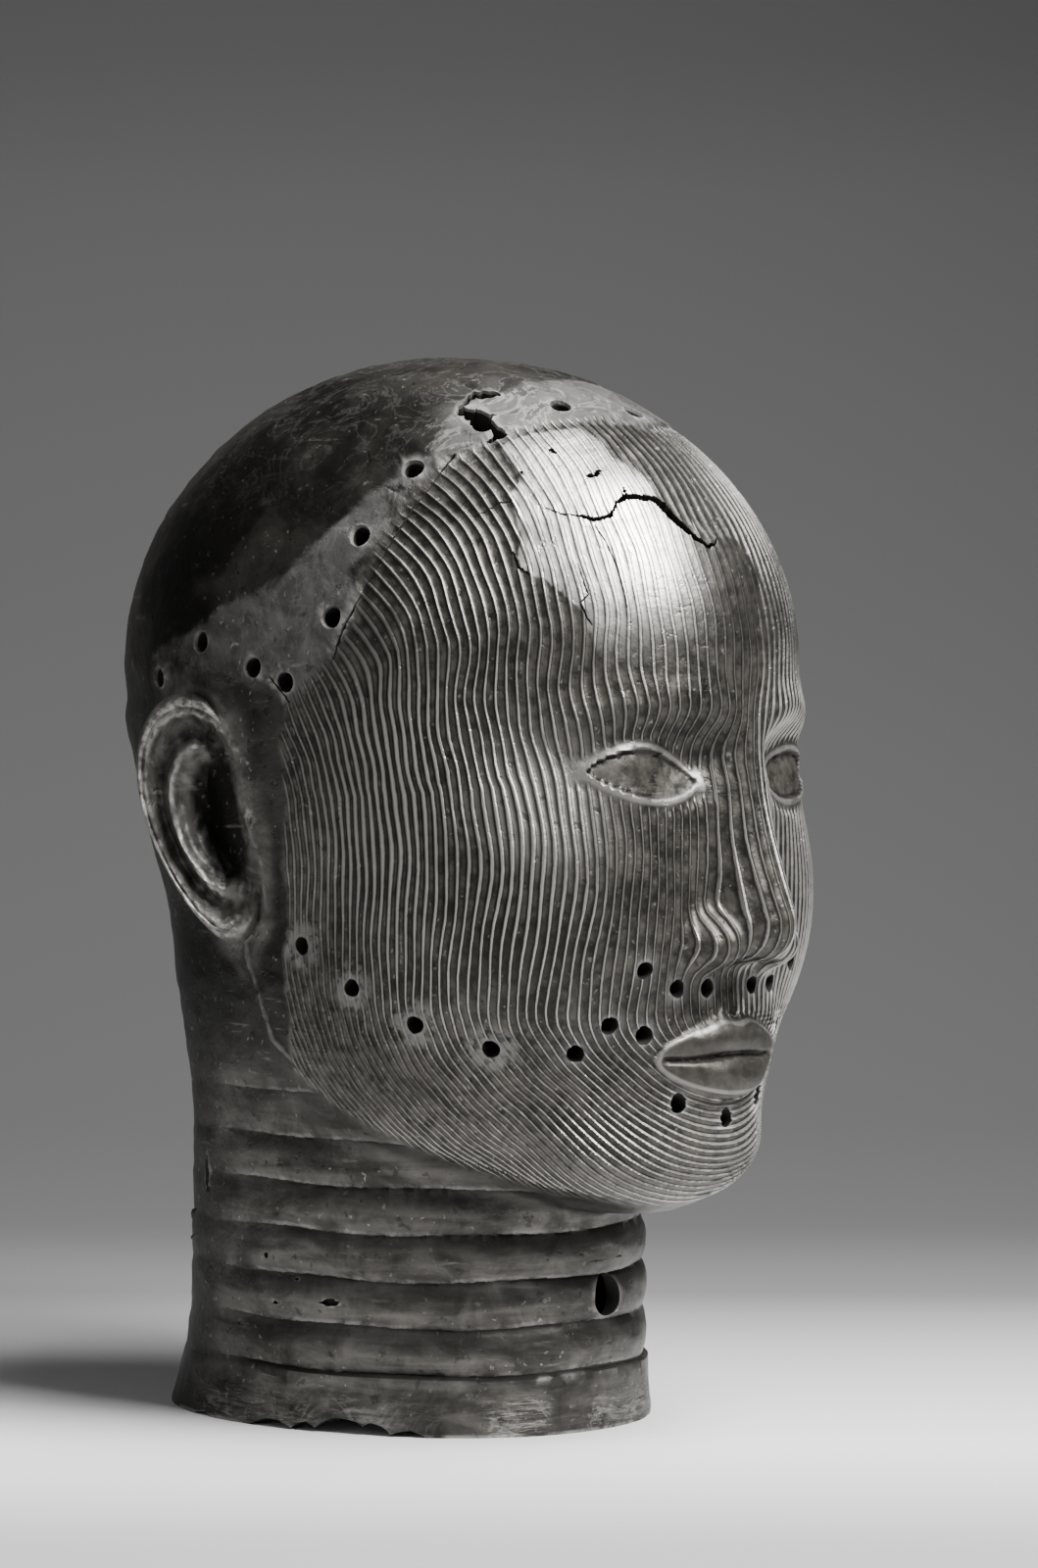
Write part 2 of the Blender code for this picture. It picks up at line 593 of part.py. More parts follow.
def main():
    for old in list(bpy.data.objects):
        bpy.data.objects.remove(old)
    parts = bpy.data.collections.new("bronze_head")
    tools = bpy.data.collections.new("cutters")
    for collection in (parts, tools):
        bpy.context.scene.collection.children.link(collection)

    head = form_solid("head_casting", outer_surface, parts)
    thin(head, OUTER_TRIANGLES, fine_parts)
    for name, side in (("right_ear", -1), ("left_ear", 1)):
        lobe = ear(name, side, tools)
        thin(lobe, EAR_TRIANGLES)
        apply_modifier(head, "BOOLEAN", operation="UNION", object=lobe)
        lobe.hide_render = True
        lobe.display_type = "WIRE"

    core = form_solid("hollow", inner_surface, tools)
    thin(core, CORE_TRIANGLES)
    subtract(head, [ground_cutter(tools)], tools)
    subtract(head, [core], tools)
    holes = [drill(f"hair_hole_{i}", place, outward(place), HAIR_HOLE / 2, tools)
             for i, place in enumerate([*hairline_holes(), *over_ear_holes()])]
    holes += [drill(f"beard_hole_{i}", place, outward(place), BEARD_HOLE / 2, tools)
              for i, place in enumerate(beard_holes())]
    subtract(head, holes + neck_cutters(tools), tools)
    arm, tail = (gap_cutter(f"crown_break_{i}", path, tools) for i, path in enumerate(CROWN_BREAK))
    crack = gap_cutter("forehead_crack", [(*spot, CRACK_WIDTH / UNIT) for spot in FOREHEAD_CRACK], tools)
    subtract(head, [arm, crack], tools)
    subtract(head, [tail], tools)
    head.data.transform(Matrix.Translation((0, FORM_SHIFT * UNIT, 0)))
    head.data.materials.clear()
    head.data.materials.append(bronze())
    head.data.shade_smooth()
    head.data.set_sharp_from_angle(angle=math.radians(40))


main()
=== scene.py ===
"""Visual model of a hollow cast bronze head with a fluted face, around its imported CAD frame.

The form is worked out in millimetres, with +Z up, the face towards -Y and +X the head's own left,
and put into the meshes in metres.
"""

import math

import bpy
import numpy as np
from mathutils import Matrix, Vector


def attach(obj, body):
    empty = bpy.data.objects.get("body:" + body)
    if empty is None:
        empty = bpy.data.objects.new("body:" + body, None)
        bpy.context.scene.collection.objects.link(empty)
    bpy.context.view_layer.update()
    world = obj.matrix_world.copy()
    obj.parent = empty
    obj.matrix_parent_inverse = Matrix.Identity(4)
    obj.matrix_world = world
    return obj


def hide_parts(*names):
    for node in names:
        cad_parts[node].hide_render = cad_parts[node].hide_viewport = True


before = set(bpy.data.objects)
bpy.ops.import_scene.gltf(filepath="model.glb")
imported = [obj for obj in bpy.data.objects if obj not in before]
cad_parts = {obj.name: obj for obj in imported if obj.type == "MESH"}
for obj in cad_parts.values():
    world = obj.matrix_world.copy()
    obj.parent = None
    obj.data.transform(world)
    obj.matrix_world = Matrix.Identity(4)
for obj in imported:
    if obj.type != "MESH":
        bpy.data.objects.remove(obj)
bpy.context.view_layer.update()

# Sizes in millimetres
UNIT = 0.001
WALL = 4.5
HAIR_HOLE = 5.2
BEARD_HOLE = 4.8
HOLE_SPACING = 23.3
HOLE_SETBACK = 5.0
NECK_HOLE = 11.5
NECK_HOLE_LEVEL = 36.5
COLLAR_HEIGHT = 17.0
RING_SPACING = 12.7
RING_DEPTH = 1.9
RINGS = 7
HAIR_LEDGE = 1.0
FORM_SHIFT = -1.2  # the finished head moves by this along Y, as the CAD does

# Where holes lie, as turn from the face and rise, in degrees
BEARD_TURNS = (27.0, 40.3, 53.6, 66.9, 80.2)
LIP_HOLES = (
    (5.5, -19.3), (11.5, -19.3), (18.0, -16.5), (16.8, -25.5), (22.5, -24.5), (10.0, -33.5), (0.0, -35.0),
)
OVER_EAR_ANGLES = (-32.0, 1.0, 36.0)

# Centres and half axes of the form, in units
SKULL = ((0, 13.5, 212), (80, 113, 100))
SKULL_BACK = 98  # half axis behind its centre
SKULL_UP = 87  # half axis above its centre
NAPE_DROP = 34  # added to the half axis below it, at the back
FACE = ((0, -14, 150), (70, 78, 86))
JAW = ((0, -8, 112), (66, 74, 52))
CHIN = ((0, -62, 81), (37, 27.5, 21))
CHEEK = ((33, -50, 146), (30, 34.5, 36))
BROW = (196.5, 2.2)  # height of its line at the middle of the eye, and how proud it stands
NECK_CENTRE = 22
NECK_HALF = (58, 70.5)
NAPE_FADE = 32  # the neck's tube narrows by this much
NAPE_LEVELS = (120, 195)  # between these heights, inside the skull
MOUTH_BARREL = ((0, -64, 106), (37, 27, 26))
EYE = (31.5, -72.3, 180)
EYE_RADIUS = 14.0
EYE_OPENING = (15.0, 6.4, -5.2)  # half length, rise of the upper lid, fall of the lower lid
LID = 2.0
SOCKET = ((28, -102, 185.5), (21, 15, 11))
NOSE_ROOT = ((0, -86, 189), 8.5)
NOSE_TIP = ((0, -100, 140.5), 10.5)
NOSE_WING = ((12.5, -91, 135), (8.5, 12, 7.5))
NOSTRIL = ((7.5, -97.5, 127.0), (4.2, 6.0, 4.0))
MOUTH_LEVEL = 105.0
MOUTH_HALF = 26.0
UPPER_LIP = (-89.3, 4.6, 5.7)  # middle, height over the mouth's line, radius
LOWER_LIP = (-88.3, -5.8, 6.5)
EAR_CENTRE = (77.0, 31.0, 168.5)
EAR_HALF = (17.0, 35.5)  # half width and half height of the ear's outline
EAR_TURN = math.radians(26)  # its back edge stands off the head
EAR_LEAN = math.radians(15)  # its top leans back
EAR_BACK = 2.0  # its back lies so far under its plane
EAR_ROOT = 11.0  # and its root so much deeper
OVER_EAR = (38.0, 48.5)  # half axes of the arc of holes round the ear
HEAD_MIDDLE = (0, 13.5, 160)  # turn and rise of what is placed on the head are seen from here

# Triangles left of each part before they are joined
SHELL_TRIANGLES = 160000
EAR_TRIANGLES = 7000
CORE_TRIANGLES = 10000
SHARP_ANGLE = math.radians(50)


def smooth_union(first, second, blend):
    """Polynomial smooth minimum: the two distances mixed where they differ by less than blend."""
    share = np.clip(0.5 + 0.5 * (second - first) / blend, 0, 1)
    return second + (first - second) * share - blend * share * (1 - share)


def smooth_step(low, high, value):
    """0 below low, 1 above high, and 3 t squared - 2 t cubed between them."""
    t = np.clip((value - low) / (high - low), 0, 1)
    return t * t * (3 - 2 * t)


def bump(value, width):
    """A bell of height 1 about 0: exp(-(value / width) squared)."""
    return np.exp(-((value / width) ** 2))


def ellipsoid(x, y, z, shape):
    """Nearly the distance to an ellipsoid: k (k - 1) / g, from the lengths of q / half and q / half^2.

    A half axis may be an array that differs from place to place."""
    (cx, cy, cz), (hx, hy, hz) = shape
    qx, qy, qz = x - cx, y - cy, z - cz
    k = np.sqrt((qx / hx) ** 2 + (qy / hy) ** 2 + (qz / hz) ** 2)
    g = np.sqrt((qx / hx**2) ** 2 + (qy / hy**2) ** 2 + (qz / hz**2) ** 2)
    return k * (k - 1) / np.maximum(g, 1e-6)


def tapered_bar(x, y, z, start, end):
    """Distance to a bar between two balls, its radius running evenly from one to the other."""
    (a, ra), (b, rb) = start, end
    a, b = np.array(a, float), np.array(b, float)
    along = b - a
    share = ((x - a[0]) * along[0] + (y - a[1]) * along[1] + (z - a[2]) * along[2]) / (along @ along)
    share = np.clip(share, 0, 1)
    reach = (x - a[0] - share * along[0], y - a[1] - share * along[1], z - a[2] - share * along[2])
    return np.sqrt(reach[0] ** 2 + reach[1] ** 2 + reach[2] ** 2) - (ra + (rb - ra) * share)


def roll(x, y, z, middle_y, middle_z, radius):
    """Distance to a roll that runs across x, with its middle and radius given at each x."""
    return np.sqrt((y - middle_y) ** 2 + (z - middle_z) ** 2) - radius


def ring_relief(z, turn):
    """Rounded neck rings with sharp creases: depth (1 - root of |sin|), fading towards the nape."""
    phase = (z - COLLAR_HEIGHT) / RING_SPACING
    rounded = np.abs(np.sin(math.pi * phase)) ** 0.5
    on_rings = smooth_step(-0.08, 0.0, phase) * (1 - smooth_step(RINGS - 0.6, RINGS, phase))
    front = 1 - 0.85 * smooth_step(1.2, 2.2, np.abs(turn))
    return RING_DEPTH * (1 - rounded) * on_rings * front


def neck_form(x, y, z, inset=0.0):
    """An upright oval tube that widens a little at the rim, most at the back, with rings outside."""
    back = smooth_step(-20, 60, y - NECK_CENTRE)
    flare = (2.0 + 5.0 * back) * np.exp(-np.maximum(z, 0) / 16.0)
    hx, hy = NECK_HALF[0] + flare - inset, NECK_HALF[1] + flare - inset
    k = np.sqrt((x / hx) ** 2 + ((y - NECK_CENTRE) / hy) ** 2)
    g = np.sqrt((x / hx**2) ** 2 + ((y - NECK_CENTRE) / hy**2) ** 2)
    tube = k * (k - 1) / np.maximum(g, 1e-6) + NAPE_FADE * smooth_step(*NAPE_LEVELS, z)
    if inset == 0:
        tube = tube + ring_relief(z, np.arctan2(x, NECK_CENTRE - y))
    return np.maximum(tube, z - NAPE_LEVELS[1])


def shrunk(shape, inset):
    """The same ellipsoid with each half axis shorter by inset."""
    return shape[0], tuple(half - inset for half in shape[1])


def skull_form(x, y, z, inset=0.0):
    """An ellipsoid with half axes of its own in front, behind, above, and below at the back."""
    centre, (hx, hy, hz) = SKULL
    hy = np.where(y > centre[1], SKULL_BACK, hy)
    low = hz + NAPE_DROP * smooth_step(-20, 40, y)
    hz = np.where(z > centre[2], SKULL_UP, low)
    return ellipsoid(x, y, z, (centre, (hx - inset, hy - inset, hz - inset)))


def large_forms(x, y, z, inset=0.0):
    """Skull, face, jaw, chin and neck melted together, hollowed at the eyes, all smaller by inset."""
    side = np.abs(x)
    form = smooth_union(skull_form(x, y, z, inset), ellipsoid(x, y, z, shrunk(FACE, inset)), 22)
    form = smooth_union(form, ellipsoid(x, y, z, shrunk(JAW, inset)), 22)
    form = smooth_union(form, ellipsoid(x, y, z, shrunk(CHIN, inset)), 14)
    form = smooth_union(form, ellipsoid(side, y, z, shrunk(CHEEK, inset)), 22)
    back = smooth_step(-20, 50, y - NECK_CENTRE)
    form = smooth_union(form, neck_form(x, y, z, inset), 4 + 20 * back)
    return -smooth_union(-form, ellipsoid(side, y, z, shrunk(SOCKET, -inset)), 9)


def lid_opening(side, z):
    """How far, in units, a point seen from the front lies outside the almond between the lids."""
    half, rise, fall = EYE_OPENING
    u = (side - EYE[0]) / half
    arch = np.maximum(1 - u * u, 0) ** 0.75
    level = z - EYE[2] - 1.2 * u
    outside = np.maximum(level - rise * arch, fall * arch - level)
    return np.maximum(outside, (np.abs(u) - 1) * half)


def brow_ridge(side, z):
    """How proud the brow stands: a bell about an arched line, running out towards the nose and the temple."""
    line, proud = BROW
    arch = line + 1.5 - 0.005 * (side - 29) ** 2
    ends = smooth_step(0, 16, side) * (1 - smooth_step(38, 62, side))
    return proud * bump(z - arch, 7.0) * ends


def features(x, y, z, form):
    """Brow, eyes, nose and mouth melted into the large forms."""
    side = np.abs(x)
    form = form - brow_ridge(side, z)
    ball = np.sqrt((side - EYE[0]) ** 2 + (y - EYE[1]) ** 2 + (z - EYE[2]) ** 2)
    ball = ball - EYE_RADIUS - LID * smooth_step(-0.2, 0.9, lid_opening(side, z))
    form = smooth_union(form, ball, 3.0)
    form = smooth_union(form, tapered_bar(x, y, z, NOSE_ROOT, NOSE_TIP), 9)
    form = smooth_union(form, ellipsoid(side, y, z, NOSE_WING), 6)
    form = -smooth_union(-form, ellipsoid(side, y, z, NOSTRIL), 1.5)
    form = smooth_union(form, ellipsoid(x, y, z, MOUTH_BARREL), 10)
    u = np.clip(side / MOUTH_HALF, 0, 1)
    taper = np.maximum(1 - u**2, 0.0) ** 0.55
    beyond = 3.0 * np.maximum(side - MOUTH_HALF, 0)
    bow = 0.8 * bump(side - 7.0, 6.0)
    for (middle, rise, radius), lift in ((UPPER_LIP, bow), (LOWER_LIP, 0)):
        level = MOUTH_LEVEL + rise * (1 - 0.8 * u**2) + lift
        lip = roll(x, y, z, middle + 7.0 * u**2, level, radius * taper)
        form = smooth_union(form, lip + beyond, 1.8)
    return form


def form_distance(x, y, z):
    """The whole outer form, below 0 inside and above 0 outside."""
    return features(x, y, z, large_forms(x, y, z))


# Rays that reach every part of the form: height and depth of the ray's start, and its rise in degrees.
# Each row of the table is one level, from the crown to below the rim.
LEVELS = (
    ("crown", 205, 50, 90.0),
    ("cap", 200, 46, 60.0),
    ("hairline", 185, 34, 42.0),
    ("forehead", 165, 20, 28.0),
    ("eyes", 160, 13.5, 10.0),
    ("mouth", 160, 13.5, -25.0),
    ("chin", 160, 13.5, -40.0),
    ("underside", 160, 14, -51.0),
    ("throat", 136, 18, -50.0),
    ("nape", 96, 20, -36.0),
    ("neck", 60, 22, -15.0),
    ("collar", 17, 22, -1.0),
    ("below_rim", -12, 22, 0.0),
)
LEVEL_ROWS = (12, 22, 30, 40, 56, 104, 72, 22, 14, 22, 26, 10)  # rows from each level to the next
CORE_ROWS = (5, 7, 10, 14, 20, 10, 8, 5, 6, 6, 8, 3)  # the same in the hollow
FAR = 190.0  # every ray has left the head at this length


def level_rays(level):
    """Start height, start depth and rise of the rays at a level: 0 at the crown, 12 below the rim."""
    at = np.arange(len(LEVELS))
    return [np.interp(level, at, [row[i] for row in LEVELS]) for i in (1, 2, 3)]


def halve(low, high, rounds, beyond):
    """Narrow ranges by halving: the middle becomes the low end where beyond(middle) holds."""
    for _ in range(rounds):
        middle = (low + high) / 2
        further = beyond(middle)
        low, high = np.where(further, middle, low), np.where(further, high, middle)
    return low, high


def cast(form, turn, level, far=FAR):
    """Where rays leave the form. turn is the angle from the face, in radians, to the head's left."""
    height, depth, rise = level_rays(level)
    rise = np.radians(rise)
    way = (np.sin(turn) * np.cos(rise), -np.cos(turn) * np.cos(rise), np.sin(rise) + 0 * turn)

    def places(at):
        return way[0] * at, depth + way[1] * at, height + way[2] * at

    start = np.zeros(np.broadcast(turn, level).shape)
    near, _ = halve(start, start + far, 20, lambda at: form(*places(at)) < 0)
    return np.stack(places(near), axis=-1)


def hairline_edge(x, z):
    """How far back the hairline runs: -62 + 0.147 |x| to the power 1.3, further back by the temple."""
    return -62.0 + 0.147 * np.abs(x) ** 1.3 + 22.0 * (np.maximum(225.0 - z, 0) / 25.0) ** 2


def hairline_side(x, y, z):
    """Above 0 on the cap and below 0 on the face."""
    return y - hairline_edge(x, z)


def cap_ledge(x, y, z):
    """How far the cap stands proud of the face."""
    return HAIR_LEDGE * smooth_step(-0.5, 0.5, hairline_side(x, y, z)) * smooth_step(202, 212, z)


# Flutes run down the face, fan out to meet the hairline and bend into arcs under the mouth. They are counted
# from the middle of the face. The base turns of some are given in degrees, closer at the front.
FLUTE_NUMBERS = (0, 28, 36, 44, 50, 56, 96)
FLUTE_TURNS = (0.0, 42.0, 54.8, 68.4, 79.2, 90.6, 166.6)
FLUTES = 54  # on each side
FLUTE_STEPS = (0.0, 0.13, 0.3, 0.5, 0.7, 0.87)  # columns of points in one flute, as shares of it
BACK_COLUMNS = 108  # columns round the back of the head
FLUTED_TURN = 112  # columns as far round as this follow the flutes' unevenness
FLUTE_DEPTH = 0.52
CHANNEL_HOLLOW = 0.10
POLISH_LOSS = 0.72  # share of a flute's height that is worn off on the brow
HAIR_TURNS = (0, 10, 20, 30, 35, 40, 45, 50, 55, 60, 65, 70, 80, 90, 100)
HAIR_LEVELS = (1.92, 1.86, 1.85, 1.90, 1.95, 2.03, 2.14, 2.29, 2.48, 2.77, 2.93, 3.04, 3.23, 3.40, 3.56)
WAVE_LEVELS = (1.8, 2.5, 3.0, 3.4, 3.9, 4.3, 4.8, 5.4, 6.0)
WAVE_TURNS = (0.0, 0.4, -0.2, 1.1, 0.4, -0.7, 0.9, 0.2, 0.0)
JAW_TURNS = (0, 12, 22, 33, 44, 55, 73, 87, 95)
JAW_HEIGHTS = (65.0, 65.6, 68.0, 72.0, 76.0, 81.0, 90.0, 100.0, 106.0)


def eased(at, places, values):
    """Values between places as np.interp gives them, but with an eased step from each to the next."""
    places, values = np.array(places, float), np.array(values, float)
    i = np.clip(np.searchsorted(places, at) - 1, 0, len(places) - 2)
    share = np.clip((at - places[i]) / (places[i + 1] - places[i]), 0, 1)
    return values[i] + (values[i + 1] - values[i]) * share**2 * (3 - 2 * share)


def weave(base, level):
    """The flutes' unevenness in degrees: a slow swing that fades at the ears, and crossed sines."""
    size = np.abs(base)
    swing = 0.8 * eased(level, WAVE_LEVELS, WAVE_TURNS) * smooth_step(4, 30, size) * np.sign(base)
    slow = 0.30 * np.sin(4.1 * level + 0.11 * base + 0.6)
    fine = 0.13 * np.sin(9.7 * level + 0.37 * base) + 0.10 * np.sin(15.1 * level - 0.52 * base + 1.7)
    return (swing + slow + fine) * (1 - smooth_step(78, 96, size))


def column_turn(base, level):
    """Turn in degrees of a flute at a level: its base turn, spread out near the hairline, and uneven."""
    size = np.abs(base)
    above = np.clip((np.interp(size, HAIR_TURNS, HAIR_LEVELS) + 0.6 - level) / 0.6, 0, 1.0)
    spread = 9.0 * smooth_step(22, 42, size) * (1 - smooth_step(44, 92, size)) * above**1.7
    return np.sign(base) * (size + spread) + weave(base, level)


def base_turn(turn, level):
    """The base turn of the flute through a place, found by halving, as the turn only rises with it."""
    ends = np.full(turn.shape, -120.0), np.full(turn.shape, 120.0)
    low, high = halve(*ends, 24, lambda middle: column_turn(middle, level) < turn)
    return (low + high) / 2


def place_level(x, y, z):
    """Turn in degrees and level of a place, found by halving between the rays of the table."""

    def below(level):
        height, depth, rise = level_rays(level)
        return np.degrees(np.arctan2(z - height, np.hypot(x, y - depth))) <= rise

    level, _ = halve(np.zeros(x.shape), np.full(x.shape, len(LEVELS) - 1.0), 24, below)
    _, depth, _ = level_rays(level)
    return np.degrees(np.arctan2(x, depth - y)), level


def flute_count(base, rise):
    """Flutes counted from the middle of the face, as arcs under the mouth: root of turn and drop squared."""
    size = np.abs(base)
    reach = size
    for _ in range(8):
        outer = smooth_step(35, 58, reach)
        drop = np.maximum(-22.3 - 2 * outer - rise, 0) * 1.95
        reach = np.sqrt(size**2 + drop**2)
    return np.interp(reach, FLUTE_TURNS, FLUTE_NUMBERS)


def face_area(x, y, z, turn):
    """How far inside the face a place is, in mm: from the hairline, the ears and the jaw."""
    hair = -0.85 * hairline_side(x, y, z)
    ear_edge = np.where(z < 206, 0.1 + 0.1 * (204 - z) - y, 50.0)
    ear_edge = ear_edge + 0.9 * np.sin(0.21 * z) + 0.5 * np.sin(0.53 * z + 1)
    jaw = z - np.interp(np.abs(turn), JAW_TURNS, JAW_HEIGHTS) + 1.5
    return np.minimum.reduce([hair, ear_edge, jaw])


def lip_field(side, z):
    """How far inside the outline of the lips a place is, in mm: a bow over their line, a bowl under it."""
    u = np.clip(side / MOUTH_HALF, 0, 1)
    taper = np.maximum(1 - u**2, 0.0) ** 0.6
    top = MOUTH_LEVEL + (8.6 + 1.3 * bump(side - 6.0, 4.0)) * taper
    bottom = MOUTH_LEVEL - 10.6 * taper
    return np.minimum.reduce([top - z, z - bottom, (MOUTH_HALF - side) * 0.6])


def mouth_relief(x, y, z):
    """Crisp edges of the lips, a cut line between them and a raised edge to each lid, in mm."""
    side, front = np.abs(x), smooth_step(-55, -62, y)
    lips = lip_field(side, z)
    line = MOUTH_LEVEL - 0.3 + 0.5 * np.cos(side / 6.0)
    relief = 0.55 * smooth_step(-0.5, 0.3, lips) + 0.25 * bump(lips - 0.5, 0.6)
    relief = relief - 1.5 * bump(z - line, 0.75) * smooth_step(MOUTH_HALF - 0.5, MOUTH_HALF - 4, side)
    lid = lid_opening(side, z)
    lids = (0.45 * bump(lid - 1.3, 0.8) - 0.4 * bump(lid + 0.3, 0.5)) * smooth_step(150, 160, z)
    return (relief * smooth_step(135, 125, z) + lids) * front


def inside_face(x, y, z, turn):
    """How far inside the fluted field a place is, in mm: inside the face, clear of the eyes and lips."""
    side = np.abs(x)
    eye = np.where(y < -40, lid_opening(side, z) - 3.0, 50.0)
    lips = np.where(y < -60, -0.7 - lip_field(side, z), 50.0)
    return np.minimum.reduce([face_area(x, y, z, turn), eye, lips])


# Worn fields of the right side, as turn and rise: the polished brow, and light metal about the broken crown
POLISHED_EDGE = (
    (-38.5, 47.5), (-35.9, 48.3), (-35.3, 46.9), (-35.3, 44.8), (-35.6, 41.6), (-35.9, 40.8), (-36.3, 39.5),
    (-35.1, 38.1), (-33.0, 37.5), (-31.8, 36.8), (-30.7, 35.1), (-29.5, 34.3), (-27.8, 33.0), (-26.5, 31.5),
    (-25.6, 28.2), (-23.4, 22.0), (-9.9, 20.8), (0.7, 28.9), (3.8, 35.2), (0.5, 39.0), (-4.3, 38.9),
    (-7.3, 39.9), (-9.2, 41.3), (-11.1, 43.6), (-11.3, 44.8), (-11.1, 46.7), (-12.4, 48.7), (-15.8, 51.3),
    (-16.2, 54.5), (-18.3, 56.7), (-23.7, 56.9), (-28.4, 57.3), (-33.2, 56.7), (-36.0, 56.0), (-35.3, 53.5),
    (-33.6, 50.2), (-35.5, 48.7),
)
CROWN_EDGE = (
    (-51.0, 61.1), (-47.6, 62.4), (-48.2, 64.3), (-45.6, 65.7), (-41.2, 67.5), (-37.3, 68.6), (-32.4, 69.3),
    (-25.8, 69.0), (-20.6, 67.0), (-11.1, 65.8), (-7.1, 61.6), (-7.9, 59.7), (-15.3, 57.9), (-25.2, 58.6),
    (-33.7, 57.7), (-42.6, 57.4), (-49.3, 54.5),
)
CRUST_TURNS = (0, 20, 45, 53, 61, 68, 73, 80, 89, 101, 109, 124)
CRUST_RISES = (69.0, 68.0, 63.0, 57.5, 53.5, 51.5, 48.0, 44.6, 41.1, 39.3, 37.2, 33.0)


def crust_field(x, y, z, turn, rise):
    """How far inside the light crust behind the hairline a place is, in mm, from its four edges."""
    outer = (np.interp(np.abs(turn), CRUST_TURNS, CRUST_RISES) - rise) * 1.9
    low = z - 186.0 - 22.0 * smooth_step(68, 80, np.abs(turn))
    return np.minimum.reduce([0.85 * hairline_side(x, y, z) + 0.5, outer, (122 - np.abs(turn)) * 1.6, low])


# Raised seams, as turn and rise: down the front of the ear, and from its lobe to the jaw's corner
EAR_SEAM = (
    (-101.0, 29.0), (-95.5, 25.0), (-92.5, 18.0), (-94.0, 11.0), (-92.0, 4.0), (-89.5, -4.0),
    (-90.5, -11.0), (-88.5, -16.0),
)
LOBE_SEAM = (
    (-92.0, -15.5), (-99.5, -19.0), (-98.2, -25.0), (-95.5, -30.6), (-93.5, -38.2), (-85.5, -42.0),
    (-76.0, -43.0),
)


def line_distance(u, v, corners, closed=False):
    """Distance in the plane of u and v to the nearest stretch of a line through some corners."""
    corners = np.array(corners, float)
    ends = np.roll(corners, -1, axis=0) if closed else corners[1:]
    nearest = np.full(u.shape, 1e9)
    for (ax, ay), (bx, by) in zip(corners, ends):
        du, dv = bx - ax, by - ay
        along = np.clip(((u - ax) * du + (v - ay) * dv) / (du**2 + dv**2), 0, 1)
        nearest = np.minimum(nearest, np.hypot(u - ax - along * du, v - ay - along * dv))
    return nearest


def seam_field(turn, rise):
    """How near the raised seams about an ear a place is, in degrees, on both sides of the head."""
    side = -np.abs(turn)
    return np.minimum(line_distance(side, rise, EAR_SEAM) + 0.3, line_distance(side, rise, LOBE_SEAM))


def signed_outline(u, v, corners):
    """Signed distance to a closed outline in the plane of u and v, above 0 inside it."""
    corners = np.array(corners, float)
    nearest = line_distance(u, v, corners, closed=True)
    crossings = np.zeros(u.shape, int)
    for (ax, ay), (bx, by) in zip(corners, np.roll(corners, -1, axis=0)):
        spans = (ay > v) != (by > v)
        at = ax + (v - ay) / (by - ay if by != ay else 1e-9) * (bx - ax)
        crossings += spans & (u < at)
    return np.where(crossings % 2 == 1, nearest, -nearest)


def seen_from_middle(x, y, z):
    """Turn and rise in degrees of a place, seen from the middle of the head."""
    dx, dy, dz = x - HEAD_MIDDLE[0], y - HEAD_MIDDLE[1], z - HEAD_MIDDLE[2]
    return np.degrees(np.arctan2(dx, -dy)), np.degrees(np.arctan2(dz, np.hypot(dx, dy)))


def ripple(x, y, z, length, seed, count=14):
    """Smooth unevenness from about -1 to 1: sines that run in seeded directions at about one wavelength."""
    rng = np.random.default_rng(seed)
    ways = rng.normal(size=(count, 3))
    ways /= np.linalg.norm(ways, axis=1)[:, None]
    total = 0
    for way, shift, stretch in zip(ways, rng.uniform(0, 2 * math.pi, count), rng.uniform(0.7, 1.4, count)):
        along = way[0] * x + way[1] * y + way[2] * z
        total = total + np.sin(2 * math.pi * along / (length * stretch) + shift)
    return total * math.sqrt(2 / count) / 2


def ridge_shape(count, width):
    """Section of a flute: 0 in its channel, 1 on its ridge; its half width is a share of the pitch."""
    phase = np.abs(count - np.round(count))
    return 1 - smooth_step(width * 0.35, width * 1.65, phase)


def ridge_width(turn, rise):
    """Half width of the ridges as a share of the pitch: thin, but broad on the lower temple and cheek."""
    low_temple = bump(np.hypot((np.abs(turn) - 62) / 13, (rise - 8) / 22), 1.0)
    cheek = bump(np.hypot((np.abs(turn) - 36) / 10, (rise - 2) / 14), 1.0)
    return 0.11 + 0.15 * np.clip(1.3 * np.maximum(low_temple, 0.45 * cheek), 0, 1)


def ridge_light(turn, rise):
    """Lightness of the worn ridges: most on cheeks and brow, less at the temples and the far brow; on the far
    brow the loss is painted shade.
    """
    size = np.abs(turn)
    low_temple = smooth_step(42, 78, size) * (1 - smooth_step(20, 42, rise))
    high_temple = smooth_step(36, 50, size) * smooth_step(20, 36, rise)
    brow = smooth_step(-18, -4, turn) * smooth_step(18, 30, rise)
    return 0.40 - 0.24 * low_temple - 0.26 * high_temple - 0.33 * brow


def wear_and_painted_light(turn, rise):
    """Wear and painted light of the face, from 1 to -1: worn metal with a painted highlight on the
    cheekbones, painted light under the chin, and painted shade in the cheeks' hollows and on the far brow.
    """
    size = np.abs(turn)
    cheekbone = bump(np.hypot((size - 33) / 10, (rise - 7) / 11), 1.0)
    chin = bump(np.hypot((size - 10) / 30, (rise + 45) / 4), 1.0)
    hollow_by = bump(np.hypot((size - 36) / 14, (rise + 15) / 9), 1.0)
    far_brow = smooth_step(-14, -3, turn) * smooth_step(20, 32, rise)
    return np.clip(cheekbone + 0.5 * chin - 0.8 * hollow_by - far_brow, -1, 1)


def flute_relief(count, width, field, worn):
    """Height of the flutes under their crests, in mm: ridges between hollow channels, shallow where worn."""
    phase = count - np.round(count)
    hollow_by = CHANNEL_HOLLOW * (1 - np.cos(2 * math.pi * phase)) / 2
    relief = -FLUTE_DEPTH * (1 - ridge_shape(count, width)) - hollow_by
    return relief * smooth_step(0, 1.8, field) * (1 - POLISH_LOSS * worn)


